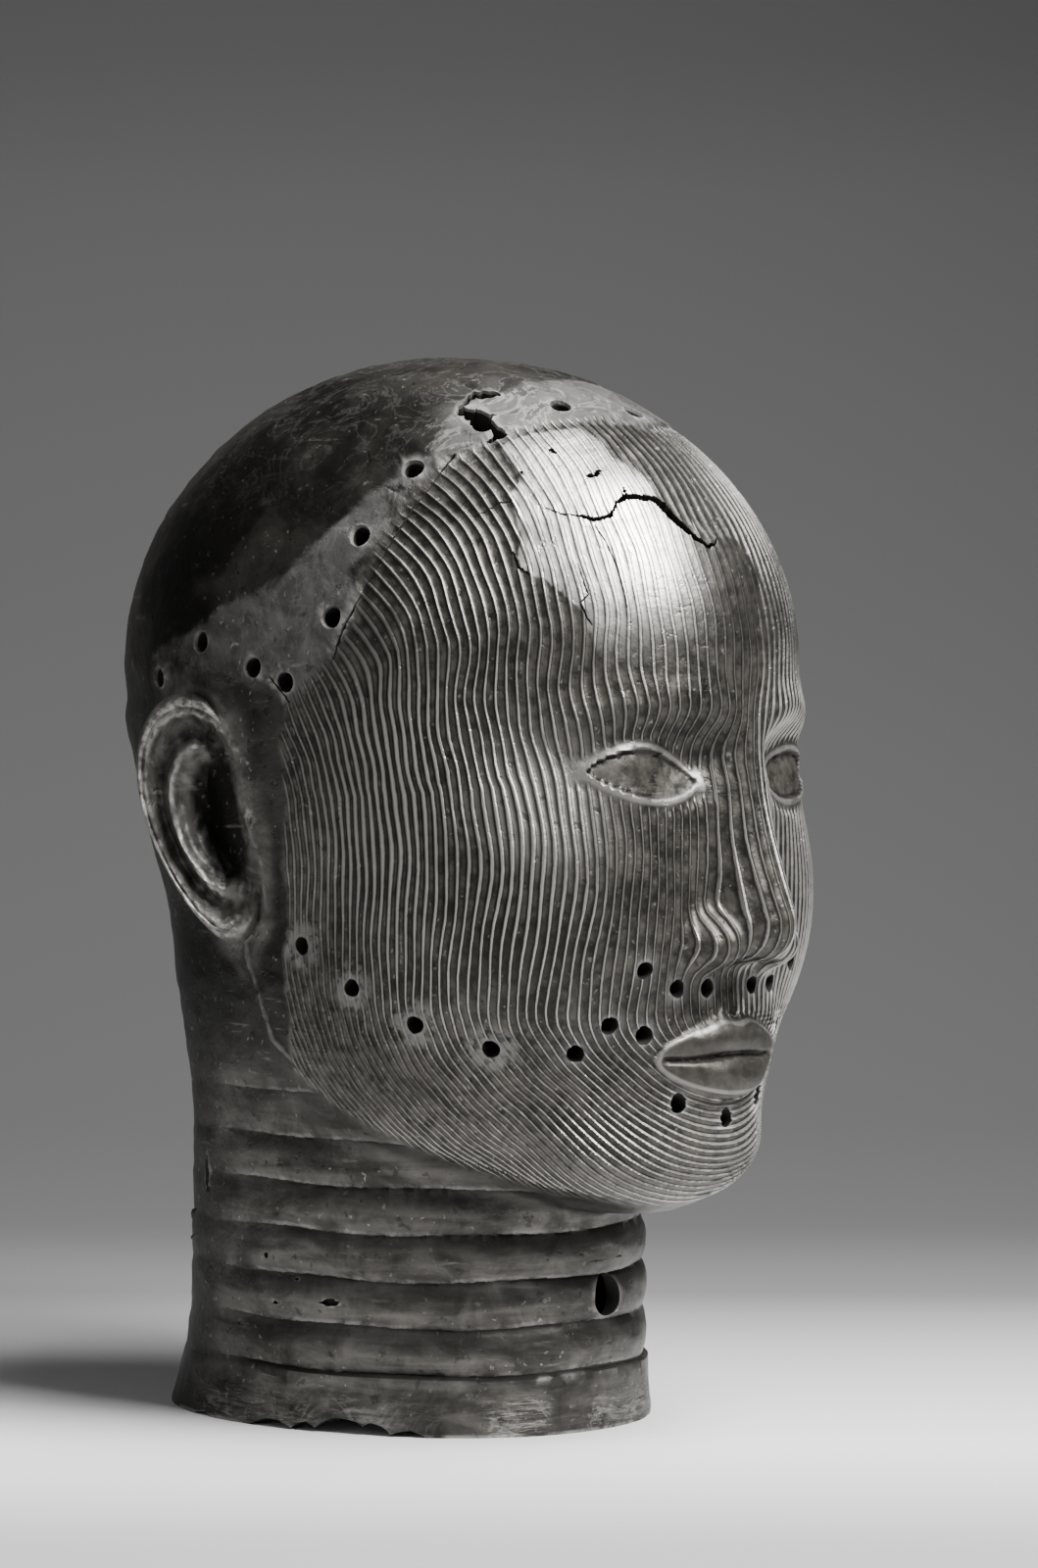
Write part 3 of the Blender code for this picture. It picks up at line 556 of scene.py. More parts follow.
def write_mesh(name, points, faces):
    """A mesh object from points in mm and a list of arrays of faces, with two empty material slots."""
    mesh = bpy.data.meshes.new(name)
    corners = np.concatenate([part.ravel() for part in faces])
    sizes = np.concatenate([np.full(len(part), part.shape[1]) for part in faces])
    mesh.vertices.add(len(points))
    mesh.vertices.foreach_set("co", (points * UNIT).astype(np.float32).ravel())
    mesh.loops.add(len(corners))
    mesh.loops.foreach_set("vertex_index", corners.astype(np.int32))
    mesh.polygons.add(len(sizes))
    starts = np.concatenate([[0], np.cumsum(sizes)[:-1]])
    mesh.polygons.foreach_set("loop_start", starts.astype(np.int32))
    mesh.update(calc_edges=True)
    mesh.validate()
    mesh.shade_smooth()
    for _ in range(2):
        mesh.materials.append(None)
    obj = bpy.data.objects.new(name, mesh)
    bpy.context.scene.collection.objects.link(obj)
    return obj


def closed_tube(grid, first, last):
    """Points and faces of a grid whose rows close on themselves, with a fan at each end to a point."""
    rows, columns = grid.shape[:2]
    ring = np.arange(columns)
    after = (ring + 1) % columns
    row = np.arange(rows - 1)[:, None] * columns
    below = row + columns
    sides = np.stack([row + ring, below + ring, below + after, row + after], -1).reshape(-1, 4)
    total = rows * columns
    base = total - columns
    top = np.stack([np.full(columns, total), ring, after], -1)
    bottom = np.stack([np.full(columns, total + 1), base + after, base + ring], -1)
    return np.concatenate([grid.reshape(-1, 3), [first, last]]), [sides, top, bottom]


def shell(name, points, lift):
    """A closed mesh of a cast grid, its ends just over the crown and in the middle of the neck."""
    first = (0, LEVELS[0][2], points[0, :, 2].max() + lift)
    return write_mesh(name, *closed_tube(points, first, (0, NECK_CENTRE, points[-1, 0, 2])))


def grid_normals(points):
    """Unit normals of a closed grid: the cross product of the steps along its rows and its columns."""
    across = np.roll(points, -1, axis=1) - np.roll(points, 1, axis=1)
    down = np.gradient(points, axis=0)
    normals = np.cross(down, across)
    return normals / np.maximum(np.linalg.norm(normals, axis=-1, keepdims=True), 1e-9)


def flute_columns():
    """Base turns of the columns in degrees: six to a flute, crowded at its ridge, wider at the back."""
    numbers = (np.arange(-FLUTES, FLUTES)[:, None] + np.array(FLUTE_STEPS)).ravel()
    steps = np.sign(numbers) * np.interp(np.abs(numbers), FLUTE_NUMBERS, FLUTE_TURNS)
    back = np.linspace(steps[-1], 360 + steps[0], BACK_COLUMNS + 2)[1:-1]
    return np.concatenate([steps, back])


def ring_sway(x, y, z):
    """Rise and fall of the neck rings, in mm: two sines that fade at the collar and under the jaw."""
    turn = np.arctan2(x, NECK_CENTRE - y)
    sway = 0.5 * np.sin(3 * turn + 0.8) + 0.35 * np.sin(7 * turn + 0.11 * z)
    return sway * smooth_step(8, 20, z) * (1 - smooth_step(92, 108, z))


def level_steps(counts):
    """Levels of the rows of a grid, with a count of rows from each level of the table to the next."""
    return np.concatenate([np.linspace(i, i + 1, n, endpoint=False) for i, n in enumerate(counts)])[1:]


def smooth_relief(x, y, z, turn, rise):
    """Unevenness of what isn't fluted, in mm: ripples, streaks on the neck, and the seams about the ears."""
    relief = 0.3 * ripple(x, y, z, 34, 1) + 0.12 * ripple(x, y, z, 11, 2) - 0.4
    relief = relief + (1 - smooth_step(80, 110, z)) * 0.18 * ripple(x, y, z * 4, 40, 3)
    return relief + 0.7 * bump(seam_field(turn, rise), 0.9) + 0.10 * ripple(x, y, z, 5, 4)


def head_shell():
    """The outer form with its flutes, cap, rings and unevenness: a closed shell that ends below the rim."""
    levels, bases = np.meshgrid(level_steps(LEVEL_ROWS), flute_columns(), indexing="ij")
    near_face = np.where(bases > 180, bases - 360, bases)
    turns = np.where(np.abs(near_face) < FLUTED_TURN, column_turn(near_face, levels), near_face)
    points = cast(lambda x, y, z: form_distance(x, y, z) - cap_ledge(x, y, z), np.radians(turns), levels)
    points[..., 2] += ring_sway(*np.moveaxis(points, -1, 0))
    x, y, z = np.moveaxis(points, -1, 0)
    turn, rise = seen_from_middle(x, y, z)
    field = inside_face(x, y, z, turn)
    worn = smooth_step(-0.5, 0.5, signed_outline(turn, rise, POLISHED_EDGE))
    relief = flute_relief(flute_count(near_face, rise), ridge_width(turn, rise), field, worn)
    relief += (1 - smooth_step(0, 3, field)) * smooth_relief(x, y, z, turn, rise) + mouth_relief(x, y, z)
    return shell("head_casting_bronze", points + grid_normals(points) * relief[..., None], 0.05)


def ear_heights(across, up):
    """Height of the ear's front over its plane: rim, inner fold, bowl, flap in front of it and lobe.

    across and up run from -1 to 1 over the ear's outline, across from front to back."""
    reach = np.hypot(across, up)
    angle = np.degrees(np.arctan2(up, across))
    way_round = np.where(angle < -130, angle + 360, angle)
    rim_on = smooth_step(-118, -82, way_round) * (1 - smooth_step(150, 172, way_round))
    rim = (3.3 * bump(reach - 0.88, 0.085) - 1.5 * bump(reach - 0.875, 0.026)) * rim_on
    valley = -1.6 * bump(reach - 0.68, 0.09) * rim_on
    fold_reach = np.hypot((across + 0.10) / 0.58, (up + 0.02) / 0.56)
    fold_on = smooth_step(-120, -80, angle) * (1 - smooth_step(95, 130, angle))
    fold = 2.6 * bump(fold_reach - 1, 0.13) * fold_on
    bowl = -7.5 * bump(np.hypot((across + 0.22) / 0.36, (up + 0.06) / 0.42), 1.0)
    flap = 3.6 * bump(np.hypot((across + 0.78) / 0.20, (up + 0.10) / 0.14), 1.0)
    heel = 2.0 * bump(np.hypot((across + 0.30) / 0.18, (up + 0.56) / 0.10), 1.0)
    lobe = 1.6 * bump(np.hypot((across + 0.25) / 0.5, (up + 0.84) / 0.2), 1.0)
    rough = 0.35 * np.sin(23 * across + 9 * up + 2 * np.sin(11 * up)) * np.sin(17 * up - 6 * across)
    return 1.6 + rim + valley + fold + bowl + flap + heel + lobe + rough


def ear_point(across, up, height):
    """Place on the head's left ear of a point of its outline and its height over the ear's plane."""
    half_across, half_up = EAR_HALF
    u = across * half_across * (1.0 + 0.24 * up)
    v = up * half_up
    back = u * math.cos(EAR_LEAN) + v * math.sin(EAR_LEAN)
    rise = v * math.cos(EAR_LEAN) - u * math.sin(EAR_LEAN)
    cx, cy, cz = EAR_CENTRE
    x = cx + back * math.sin(EAR_TURN) + height * math.cos(EAR_TURN)
    y = cy + back * math.cos(EAR_TURN) - height * math.sin(EAR_TURN)
    return np.stack([x, y, cz + rise], axis=-1)


def ear_outline(x, y, z):
    """Where a place lies over an ear's outline: the way back from its height over the plane is left out."""
    cx, cy, cz = EAR_CENTRE
    back = (np.abs(x) - cx) * math.sin(EAR_TURN) + (y - cy) * math.cos(EAR_TURN)
    rise = z - cz
    v = rise * math.cos(EAR_LEAN) + back * math.sin(EAR_LEAN)
    u = back * math.cos(EAR_LEAN) - rise * math.sin(EAR_LEAN)
    up = v / EAR_HALF[1]
    return u / (EAR_HALF[0] * np.maximum(1.0 + 0.24 * up, 0.4)), up


def ear(side, columns=96, rings=72):
    """An ear as a closed shell: a carved front on one half of a sphere, and a root on the other."""
    polar = np.linspace(0, math.pi, rings + 2)[1:-1][:, None]
    turn = (np.arange(columns) / columns * 2 * math.pi)[None, :] + 0 * polar
    reach = np.sin(polar) + 0 * turn
    across, up = reach * np.cos(turn), reach * np.sin(turn)
    edge = np.sqrt(np.clip(1 - reach**2, 0, 1))
    front = ear_heights(across, up) * smooth_step(0, 0.35, edge)
    root = -EAR_BACK - EAR_ROOT * smooth_step(0.25, 0.75, 1 - np.hypot(across + 0.3, up * 0.9)) * edge
    heights = np.where(polar <= math.pi / 2, front, root * smooth_step(0, 0.3, edge))
    middles = np.array([ear_heights(0.0, 0.0), -EAR_BACK - EAR_ROOT * smooth_step(0.25, 0.75, 0.7)])
    ends = ear_point(np.zeros(2), np.zeros(2), middles)
    points, faces = closed_tube(ear_point(across, up, heights), *ends)
    return write_mesh("ear", points * (side, 1, 1), faces)


def hollow(columns=132):
    """The inside: the same large forms smaller by the wall, a little rough, and longer than the neck."""
    turn = np.arange(columns) / columns * 2 * math.pi
    levels, turns = np.meshgrid(level_steps(CORE_ROWS), turn, indexing="ij")
    points = cast(lambda x, y, z: large_forms(x, y, z, WALL), turns - 0.35 * np.sin(turns), levels)
    x, y, z = np.moveaxis(points, -1, 0)
    rough = 0.35 * ripple(x, y, z, 16, 11) + 0.2 * ripple(x, y, z, 7, 12) - 0.3
    return shell("hollow", points + grid_normals(points) * rough[..., None], 0.02)


def surface_places(spots):
    """Points of the head and outward ways from its middle, for an array of turns and rises in degrees."""
    turn, rise = np.radians(np.array(spots, float)).T
    ways = np.stack([np.sin(turn) * np.cos(rise), -np.cos(turn) * np.cos(rise), np.sin(rise)], axis=-1)
    start = np.zeros(len(ways))

    def inside(at):
        return form_distance(*(HEAD_MIDDLE + ways * at[:, None]).T) < 0

    near, _ = halve(start, start + FAR, 30, inside)
    return HEAD_MIDDLE + ways * near[:, None], ways


def outward(point, step=0.5):
    """Unit vector square to the form at a point: the slope of its distance over a step each way."""
    steps = np.eye(3) * step
    slope = large_forms(*(point + steps).T) - large_forms(*(point - steps).T)
    return slope / np.linalg.norm(slope)


def hairline_holes():
    """Places along the hairline, evenly spaced from the middle of the brow to just over the ears."""
    swing = np.radians(np.linspace(0, 92, 400))

    def places(reach):
        x, z = reach * np.sin(swing), 175 + reach * np.cos(swing)
        return x, hairline_edge(x, z) + HOLE_SETBACK, z

    def inside(reach):
        return form_distance(*places(reach)) < 0

    low, high = halve(np.zeros(400), np.full(400, 150.0), 19, inside)
    line = np.stack(places((low + high) / 2), axis=-1)
    run = np.concatenate([[0], np.cumsum(np.linalg.norm(np.diff(line, axis=0), axis=1))])
    stops = np.arange(0, run[-1], HOLE_SPACING)[:7]
    side = np.stack([np.interp(stops, run, line[:, i]) for i in range(3)], axis=-1)
    return [*side, *(side[1:] * (-1, 1, 1))]


def over_ear_holes():
    """Places on an arc round the top of each ear."""
    _, cy, cz = EAR_CENTRE
    places = []
    for angle in np.radians(OVER_EAR_ANGLES):
        y, z = cy + OVER_EAR[0] * math.sin(angle), cz + OVER_EAR[1] * math.cos(angle)
        x = np.linspace(0, 100, 2001)
        x = x[form_distance(x, 0 * x + y, 0 * x + z) < 0].max()
        places += [np.array([x, y, z]), np.array([-x, y, z])]
    return places


def beard_holes():
    """Places of the beard's row from below the ear to the chin, and of the holes about the lips."""
    row = [(turn, -30.2 + 0.0065 * (turn - 40.0) ** 2) for turn in BEARD_TURNS]
    both = {(sign * turn, rise) for turn, rise in (*row, *LIP_HOLES) for sign in (1, -1)}
    return list(surface_places(sorted(both))[0])


def bar(place, way, ring, along, widths):
    """A closed bar: a ring of offsets, times a width, at each distance along the outward way from a place."""
    along, widths = (np.array(values)[:, None, None] for values in (along, widths))
    grid = place + along * way + widths * ring[None]
    return closed_tube(grid, place + way * along[0, 0], place + way * along[-1, 0])


def circle(sides):
    """Angles of the corners of a ring, in radians."""
    return np.arange(sides) / sides * 2 * math.pi


def bore(place, way, radius, seed, sides=18):
    """A cutter through the wall, wider at its mouth by the worn lip, with a slightly uneven round section."""
    rng = np.random.default_rng(seed)
    angle = circle(sides)
    uneven = 1 + 0.035 * np.sin(2 * angle + rng.uniform(0, 6))
    uneven += 0.03 * np.sin(3 * angle + rng.uniform(0, 6))
    side = np.cross(way, (0.31, 0.17, 0.94))
    side /= np.linalg.norm(side)
    ring = (np.cos(angle)[:, None] * side + np.sin(angle)[:, None] * np.cross(way, side)) * uneven[:, None]
    along = (3.0, 0.25, -0.35, -1.0, -3.0 * WALL)
    return bar(place, way, ring, along, radius + np.array([1.3, 0.42, 0.10, 0.0, 0.0]))


def gap(path, seed, steps=6, inward=3 * WALL, rough=0.35, outside=4.0):
    """A cutter along a path of (turn, rise, width) on the head, for a jagged gap through or into the wall.

    Its edges are the path's width plus seeded jitter, and its section is a rectangle."""
    rng = np.random.default_rng(seed)
    path = np.array(path, float)
    fine = np.linspace(0, len(path) - 1, (len(path) - 1) * steps + 1)
    turn, rise, width = (np.interp(fine, np.arange(len(path)), path[:, i]) for i in range(3))
    spots, ways = surface_places(np.stack([turn, rise], axis=-1))
    across = np.cross(np.gradient(spots, axis=0), ways)
    across /= np.linalg.norm(across, axis=1)[:, None]
    jitter = [rng.normal(0, rough, len(fine)) * np.minimum(width, 1) for _ in range(2)]
    left, right = (across * np.maximum(width / 2 + shake, 0.08)[:, None] for shake in jitter)
    top, bottom = spots + ways * outside, spots - ways * inward
    rows = np.stack([top - left, top + right, bottom + right, bottom - left], axis=1)
    return closed_tube(rows, rows[0].mean(axis=0), rows[-1].mean(axis=0))


def read(items, name, kind=np.float32, width=3):
    """A property of all the items of a mesh as an array, with width numbers to an item."""
    values = np.empty(len(items) * width, kind)
    items.foreach_get(name, values)
    return values.reshape(-1, width)


def face_out(obj):
    """Turn a closed mesh's faces outwards if its volume, summed over its triangles, comes out below 0."""
    mesh = obj.data
    mesh.calc_loop_triangles()
    spots = read(mesh.vertices, "co").astype(float)
    a, b, c = spots[read(mesh.loop_triangles, "vertices", np.int32)].transpose(1, 0, 2)
    if (np.cross(a, b) * c).sum() < 0:
        mesh.flip_normals()


def joined(name, shapes):
    """One mesh of several closed shapes that don't touch each other, facing outwards."""
    points, faces, total = [], [], 0
    for spots, parts in shapes:
        points.append(spots)
        faces += [part + total for part in parts]
        total += len(spots)
    obj = write_mesh(name, np.concatenate(points), faces)
    face_out(obj)
    return obj


def combine(obj, other, operation="DIFFERENCE"):
    """A Boolean of two closed meshes, kept as the first one's; what a cutter leaves has the second slot."""
    if operation == "DIFFERENCE":
        other.data.polygons.foreach_set("material_index", np.ones(len(other.data.polygons), np.int32))
    modifier = obj.modifiers.new(operation.title(), "BOOLEAN")
    modifier.operation = operation
    modifier.object = other
    modifier.solver = "MANIFOLD"
    keep(obj)
    bpy.data.objects.remove(other)


def keep(obj):
    """Keep what an object's modifiers make of it as its mesh."""
    graph = bpy.context.evaluated_depsgraph_get()
    old = obj.data
    obj.data = bpy.data.meshes.new_from_object(obj.evaluated_get(graph))
    obj.modifiers.clear()
    bpy.data.meshes.remove(old)


def thin(obj, triangles):
    """Turn a closed mesh's faces outwards and thin it to about a number of triangles."""
    face_out(obj)
    now = sum(len(face.vertices) - 2 for face in obj.data.polygons)
    if now > triangles:
        obj.modifiers.new("Thin", "DECIMATE").ratio = triangles / now
        keep(obj)
    return obj


# Breaks of the casting: the outline of the crown's break, and paths of (turn, rise, width) on the head
CROWN_BREAK = (
    (-31.2, 65.6), (-31.8, 66.2), (-32.8, 66.7), (-34.1, 66.8), (-35.2, 67.2), (-36.9, 67.1), (-38.4, 67.4),
    (-39.4, 66.9), (-40.6, 66.6), (-41.8, 65.6), (-42.9, 64.7), (-44.1, 64.3), (-44.0, 63.8), (-44.8, 63.1),
    (-43.9, 62.4), (-42.8, 62.3), (-42.6, 61.4), (-41.5, 61.1), (-41.9, 60.7), (-41.4, 60.1), (-40.4, 59.7),
    (-39.1, 59.7), (-37.9, 60.4), (-37.3, 59.8), (-37.5, 59.0), (-37.0, 58.0), (-37.9, 57.7), (-38.9, 57.4),
    (-37.8, 57.0), (-36.3, 57.3), (-35.0, 57.4), (-33.7, 57.7), (-34.7, 58.4), (-35.7, 59.0), (-36.2, 59.9),
    (-36.7, 60.4), (-35.9, 61.2), (-34.5, 61.5), (-36.0, 61.7), (-37.0, 61.9), (-38.4, 62.9), (-39.4, 63.4),
    (-40.3, 63.3), (-41.3, 63.6), (-42.4, 64.3), (-41.1, 64.6), (-39.9, 65.4), (-38.6, 65.6), (-37.2, 65.1),
    (-35.9, 65.3), (-34.3, 65.2), (-32.9, 65.5), (-31.9, 65.3),
)
BROW_CRACK = (
    (-30.6, 45.6, 0.3), (-28.5, 44.4, 0.5), (-26.1, 43.7, 0.6), (-24.8, 43.4, 1.0), (-23.6, 42.8, 1.3),
    (-22.1, 42.8, 1.2), (-20.7, 42.9, 1.1), (-19.9, 43.6, 0.9), (-19.2, 44.4, 0.8), (-18.4, 44.7, 1.5),
    (-17.2, 45.1, 2.2), (-16.4, 45.1, 1.9), (-14.7, 44.8, 2.0), (-12.4, 44.4, 2.4), (-11.4, 43.6, 3.0),
    (-10.7, 42.0, 2.8), (-9.2, 40.3, 2.2), (-7.7, 38.8, 1.7), (-5.9, 37.7, 1.3), (-4.2, 38.1, 0.7),
    (-3.1, 39.5, 0.3),
)
BROW_SPUR = ((-16.9, 44.9, 1.2), (-16.8, 45.8, 0.9), (-16.7, 46.6, 0.3))
HAIR_CRACK = (
    (-45.6, 56.0, 0.7), (-48.2, 54.3, 0.5), (-51.2, 51.9, 0.3), (-54.2, 49.7, 0.6), (-57.1, 46.9, 0.7),
    (-60.4, 43.2, 0.3), (-63.8, 39.6, 0.3), (-66.5, 36.2, 0.8), (-68.2, 33.7, 0.7), (-69.4, 31.6, 0.3),
)
SMALL_BREAKS = (
    ((-27.4, 54.3, 0.6), (-26.6, 53.7, 1.7), (-26.0, 53.0, 0.5)),
    ((-22.4, 49.0, 0.5), (-20.8, 48.7, 1.7), (-19.3, 49.4, 0.8)),
    ((-33.6, 51.4, 0.4), (-33.4, 51.2, 1.1), (-33.1, 50.7, 0.4)),
)
SHALLOW_CRACKS = (
    ((-23.6, 42.0, 0.5), (-22.5, 39.8, 0.45), (-21.6, 36.5, 0.4), (-21.0, 33.1, 0.3), (-20.9, 31.5, 0.2)),
    (
        (-27.2, 37.8, 0.3), (-26.6, 35.2, 0.45), (-26.2, 33.8, 0.4),
        (-27.4, 33.0, 0.5), (-26.7, 31.4, 0.6), (-25.9, 30.2, 0.3),
    ),
    ((-35.8, 47.6, 0.4), (-38.0, 47.6, 0.6), (-40.3, 47.0, 0.4), (-43.0, 46.6, 0.25)),
    ((-36.6, 41.0, 0.4), (-36.6, 39.9, 1.1), (-36.2, 38.9, 1.2), (-35.4, 38.3, 0.9), (-34.3, 37.6, 0.4)),
    ((-84.0, 30.4, 0.3), (-81.6, 28.6, 0.6), (-79.3, 26.6, 0.3)),
)


def outline_cut(corners, inward, outside=4.0, rough=0.12):
    """A cutter with the section of an outline of (turn, rise) on the head, from outside the metal into it."""
    rng = np.random.default_rng(5)
    corners = np.array(corners, float)
    middles = (corners + np.roll(corners, -1, axis=0)) / 2 + rng.normal(0, rough, corners.shape)
    spots, ways = surface_places(np.stack([corners, middles], axis=1).reshape(-1, 2))
    count = len(spots)
    ring = np.arange(count)
    after = (ring + 1) % count
    sides = np.stack([ring, after, after + count, ring + count], -1)
    faces = [sides, ring[None, ::-1], ring[None, :] + count]
    return np.concatenate([spots + ways * outside, spots - ways * inward]), faces


def ground(size=160.0, depth=60.0):
    """A slab under the rim."""
    x = np.array([-1, 1, 1, -1, -1, 1, 1, -1]) * size
    y = np.array([-1, -1, 1, 1, -1, -1, 1, 1]) * size
    z = np.array([-depth] * 4 + [0.0] * 4)
    faces = np.array([[0, 3, 2, 1], [4, 5, 6, 7], [0, 1, 5, 4], [1, 2, 6, 5], [2, 3, 7, 6], [3, 0, 4, 7]])
    return write_mesh("ground", np.stack([x, y, z], -1), [faces])


def neck_place(turn, height):
    """Point on the neck's side at a turn in degrees and a height, and the level outward way there."""
    turn = math.radians(turn)
    way = np.array([math.sin(turn), -math.cos(turn), 0.0])
    steps = np.linspace(30, 110, 1601)
    x, y = way[0] * steps, NECK_CENTRE + way[1] * steps
    reach = steps[neck_form(x, y, 0 * x + height) < 0].max()
    return np.array([0, NECK_CENTRE, height]) + way * reach, way


# Flaws of the neck: turn and height of the middle, half width and half height, in degrees and mm
NECK_PITS = (
    (-73.1, 35.4, 2.9, 1.0), (-95.6, 47.0, 0.8, 0.9), (-91.5, 34.2, 0.9, 0.5), (-84.0, 41.2, 0.6, 0.4),
)
NECK_SLITS = ((-127.0, 67.0, 1.4, 4.25),)
RIM_BITES = (
    (-69.0, 12.0, 4.8), (-91.0, 16.0, 3.0), (-52.0, 13.0, 2.2), (-60.0, 6.0, 3.6), (-80.0, 7.0, 2.6),
    (-118.0, 9.0, 1.4),
)


def upright_ring(way, across, up):
    """Offsets round a cutter square to a level way, from how far each goes across and up."""
    return across[:, None] * np.array([-way[1], way[0], 0.0]) + up[:, None] * np.array([0, 0, 1.0])


def pit(flaw, seed, sides=16, inward=3 * WALL):
    """A cutter with a ragged flat section square to the neck's wall: an ellipse shaken by seeded steps."""
    turn, height, half_width, half_height = flaw
    place, way = neck_place(turn, height)
    ragged = 1 + np.random.default_rng(seed).uniform(-0.3, 0.25, sides)
    angle = circle(sides)
    ring = upright_ring(way, np.cos(angle) * half_width * ragged, np.sin(angle) * half_height * ragged)
    return bar(place, way, ring, (3.0, 0.3, -0.8, -inward), (1.4, 1.25, 1.0, 0.9))


def rim_bite(turn, radius, height, seed, sides=22):
    """A lying bar that bites a shallow ragged arch of a height out of the rim."""
    place, way = neck_place(turn, max(height, 0.5))
    place[2] = height - radius
    ragged = radius + np.random.default_rng(seed).uniform(-0.35, 0.35, sides)
    angle = circle(sides)
    ring = upright_ring(way, np.cos(angle) * ragged, np.sin(angle) * ragged)
    return bar(place, way, ring, (6.0, 0.0, -2.0, -12.0), (1.0, 0.97, 0.93, 0.9))


def store(mesh, name, values):
    """Keep one number for each point of a mesh, or for each face, as a named attribute."""
    attribute = mesh.attributes.new(name, "FLOAT", "POINT" if len(values) == len(mesh.vertices) else "FACE")
    attribute.data.foreach_set("value", np.asarray(values, np.float32))


def cavity(mesh, points, rounds):
    """How hollow the surface is at each point: the mean step to its neighbours along its normal."""
    a, b = read(mesh.edges, "vertices", np.int32, 2).T
    normals = read(mesh.vertices, "normal").astype(float)
    count = np.maximum(np.bincount(a, minlength=len(points)) + np.bincount(b, minlength=len(points)), 1)

    def spread(values):
        return np.bincount(a, values[b], len(points)) + np.bincount(b, values[a], len(points))

    around = np.stack([spread(points[:, i]) for i in range(3)], axis=-1) / count[:, None]
    length = np.linalg.norm(points[a] - points[b], axis=1)
    mean = (np.bincount(a, length, len(points)) + np.bincount(b, length, len(points))) / count
    hollow_by = ((around - points) * normals).sum(axis=1) / np.maximum(mean, 0.2)
    for _ in range(rounds):
        hollow_by = 0.5 * hollow_by + 0.5 * spread(hollow_by) / count
    return hollow_by


def hole_distances(points, holes):
    """Distance in mm of each point from the nearest hole, and from the nearest one of the beard's row."""
    nearest, in_row = np.full(len(points), 1e9), np.full(len(points), 1e9)
    for place, radius in holes:
        away = np.linalg.norm(points - place, axis=1) - radius
        nearest = np.minimum(nearest, away)
        turn, rise = seen_from_middle(*place)
        if abs(turn) > 35 and -35 < rise < -10:
            in_row = np.minimum(in_row, away)
    return nearest, in_row


def measure_surface(obj, holes):
    """Write the fields that the bronze's material reads, each kept between two limits."""
    mesh = obj.data
    points = read(mesh.vertices, "co").astype(float) / UNIT
    x, y, z = points.T
    side = np.abs(x)
    turn, rise = seen_from_middle(x, y, z)
    ray_turn, level = place_level(x, y, z)
    off_face = (large_forms(x, y, z) < -WALL * 0.45) | (np.abs(ray_turn) > 110)
    # The polished brow's painted highlight fades towards the brow's lower edge and far side, and partly over
    # its upper part.
    above = smooth_step(44.5, 49, rise) * (0.35 + 0.40 * smooth_step(-27, -17, turn))
    fade = smooth_step(24.5, 36.5, rise) * (1 - smooth_step(-19, -6, turn)) * (1 - above)
    crown = signed_outline(turn * 0.6, rise, np.array(CROWN_EDGE) * (0.6, 1))
    hole, in_row = hole_distances(points, holes)
    across, up = ear_outline(x, y, z)
    reach = np.where(side > 60, np.hypot(across, up), 3.0)
    front = (y < -60) & (z > 80)
    for name, values, low, high in (
        ("cut", read(mesh.polygons, "material_index", np.int32, 1)[:, 0], 0, 1),
        ("flute", flute_count(base_turn(ray_turn, level), rise), 0, 200),
        ("flute_field", np.where(off_face, -20.0, inside_face(x, y, z, turn)), -20, 20),
        ("flute_width", ridge_width(turn, rise), 0, 1),
        ("face", np.where(off_face, -20.0, face_area(x, y, z, turn)), -20, 20),
        ("ridge_light", ridge_light(turn, rise), -1, 1),
        ("wear_and_light_zone", wear_and_painted_light(turn, rise), -1, 1),
        ("seam", seam_field(turn, rise), 0, 20),
        ("polish", signed_outline(turn, rise, POLISHED_EDGE), -4, 4),
        ("painted_highlight_fade", fade, 0, 1),
        ("crown", crown, -8, 8),
        ("hole", hole, -3, 20),
        ("row_hole", in_row, -3, 20),
        ("ear", reach, 0, 3),
        ("ear_front", np.where(reach < 1.02, ear_heights(across, up), 1.6), -20, 20),
        ("crust", np.minimum(crust_field(x, y, z, turn, rise), (reach - 1.12) * 28), -20, 20),
        ("lip", np.where(front & (z < 130), lip_field(side, z), -6.0), -6, 6),
        ("lid", np.where(front & (z > 150), lid_opening(side, z), 6.0), -6, 6),
        ("depth", -form_distance(x, y, z), -3, 6),
        ("ring", (z - ring_sway(x, y, z) - COLLAR_HEIGHT) / RING_SPACING, -9, 99),
        ("cavity", cavity(mesh, points, 2), -9, 9),
    ):
        store(mesh, name, np.clip(values, low, high))


def bores(hair, beard):
    """Cutters of the round holes, of the hole in the front of the neck and of the neck's slit and pits."""
    shapes = [bore(place, outward(place), radius, 40 + i) for i, (place, radius) in enumerate(hair + beard)]
    throat, way = neck_place(0.0, NECK_HOLE_LEVEL)
    shapes.append(bore(throat, way, NECK_HOLE / 2, 7, sides=28))
    shapes += [pit(slit, 60 + i) for i, slit in enumerate(NECK_SLITS)]
    shapes += [pit(flaw, 70 + i, inward=2.2) for i, flaw in enumerate(NECK_PITS)]
    return shapes, throat


def breaks():
    """Cutters of the rim's bites, the crown's break and the cracks, in the order in which they are made."""
    parts = [rim_bite(*bite, 80 + i) for i, bite in enumerate(RIM_BITES)]
    parts += [outline_cut(CROWN_BREAK, 3 * WALL), gap(BROW_CRACK, 91, rough=0.14), gap(BROW_SPUR, 90)]
    parts += [gap(path, 92 + i) for i, path in enumerate(SMALL_BREAKS)]
    shallow = (HAIR_CRACK, *SHALLOW_CRACKS)
    return parts + [gap(path, 97 + i, inward=0.9, rough=0.12) for i, path in enumerate(shallow)]


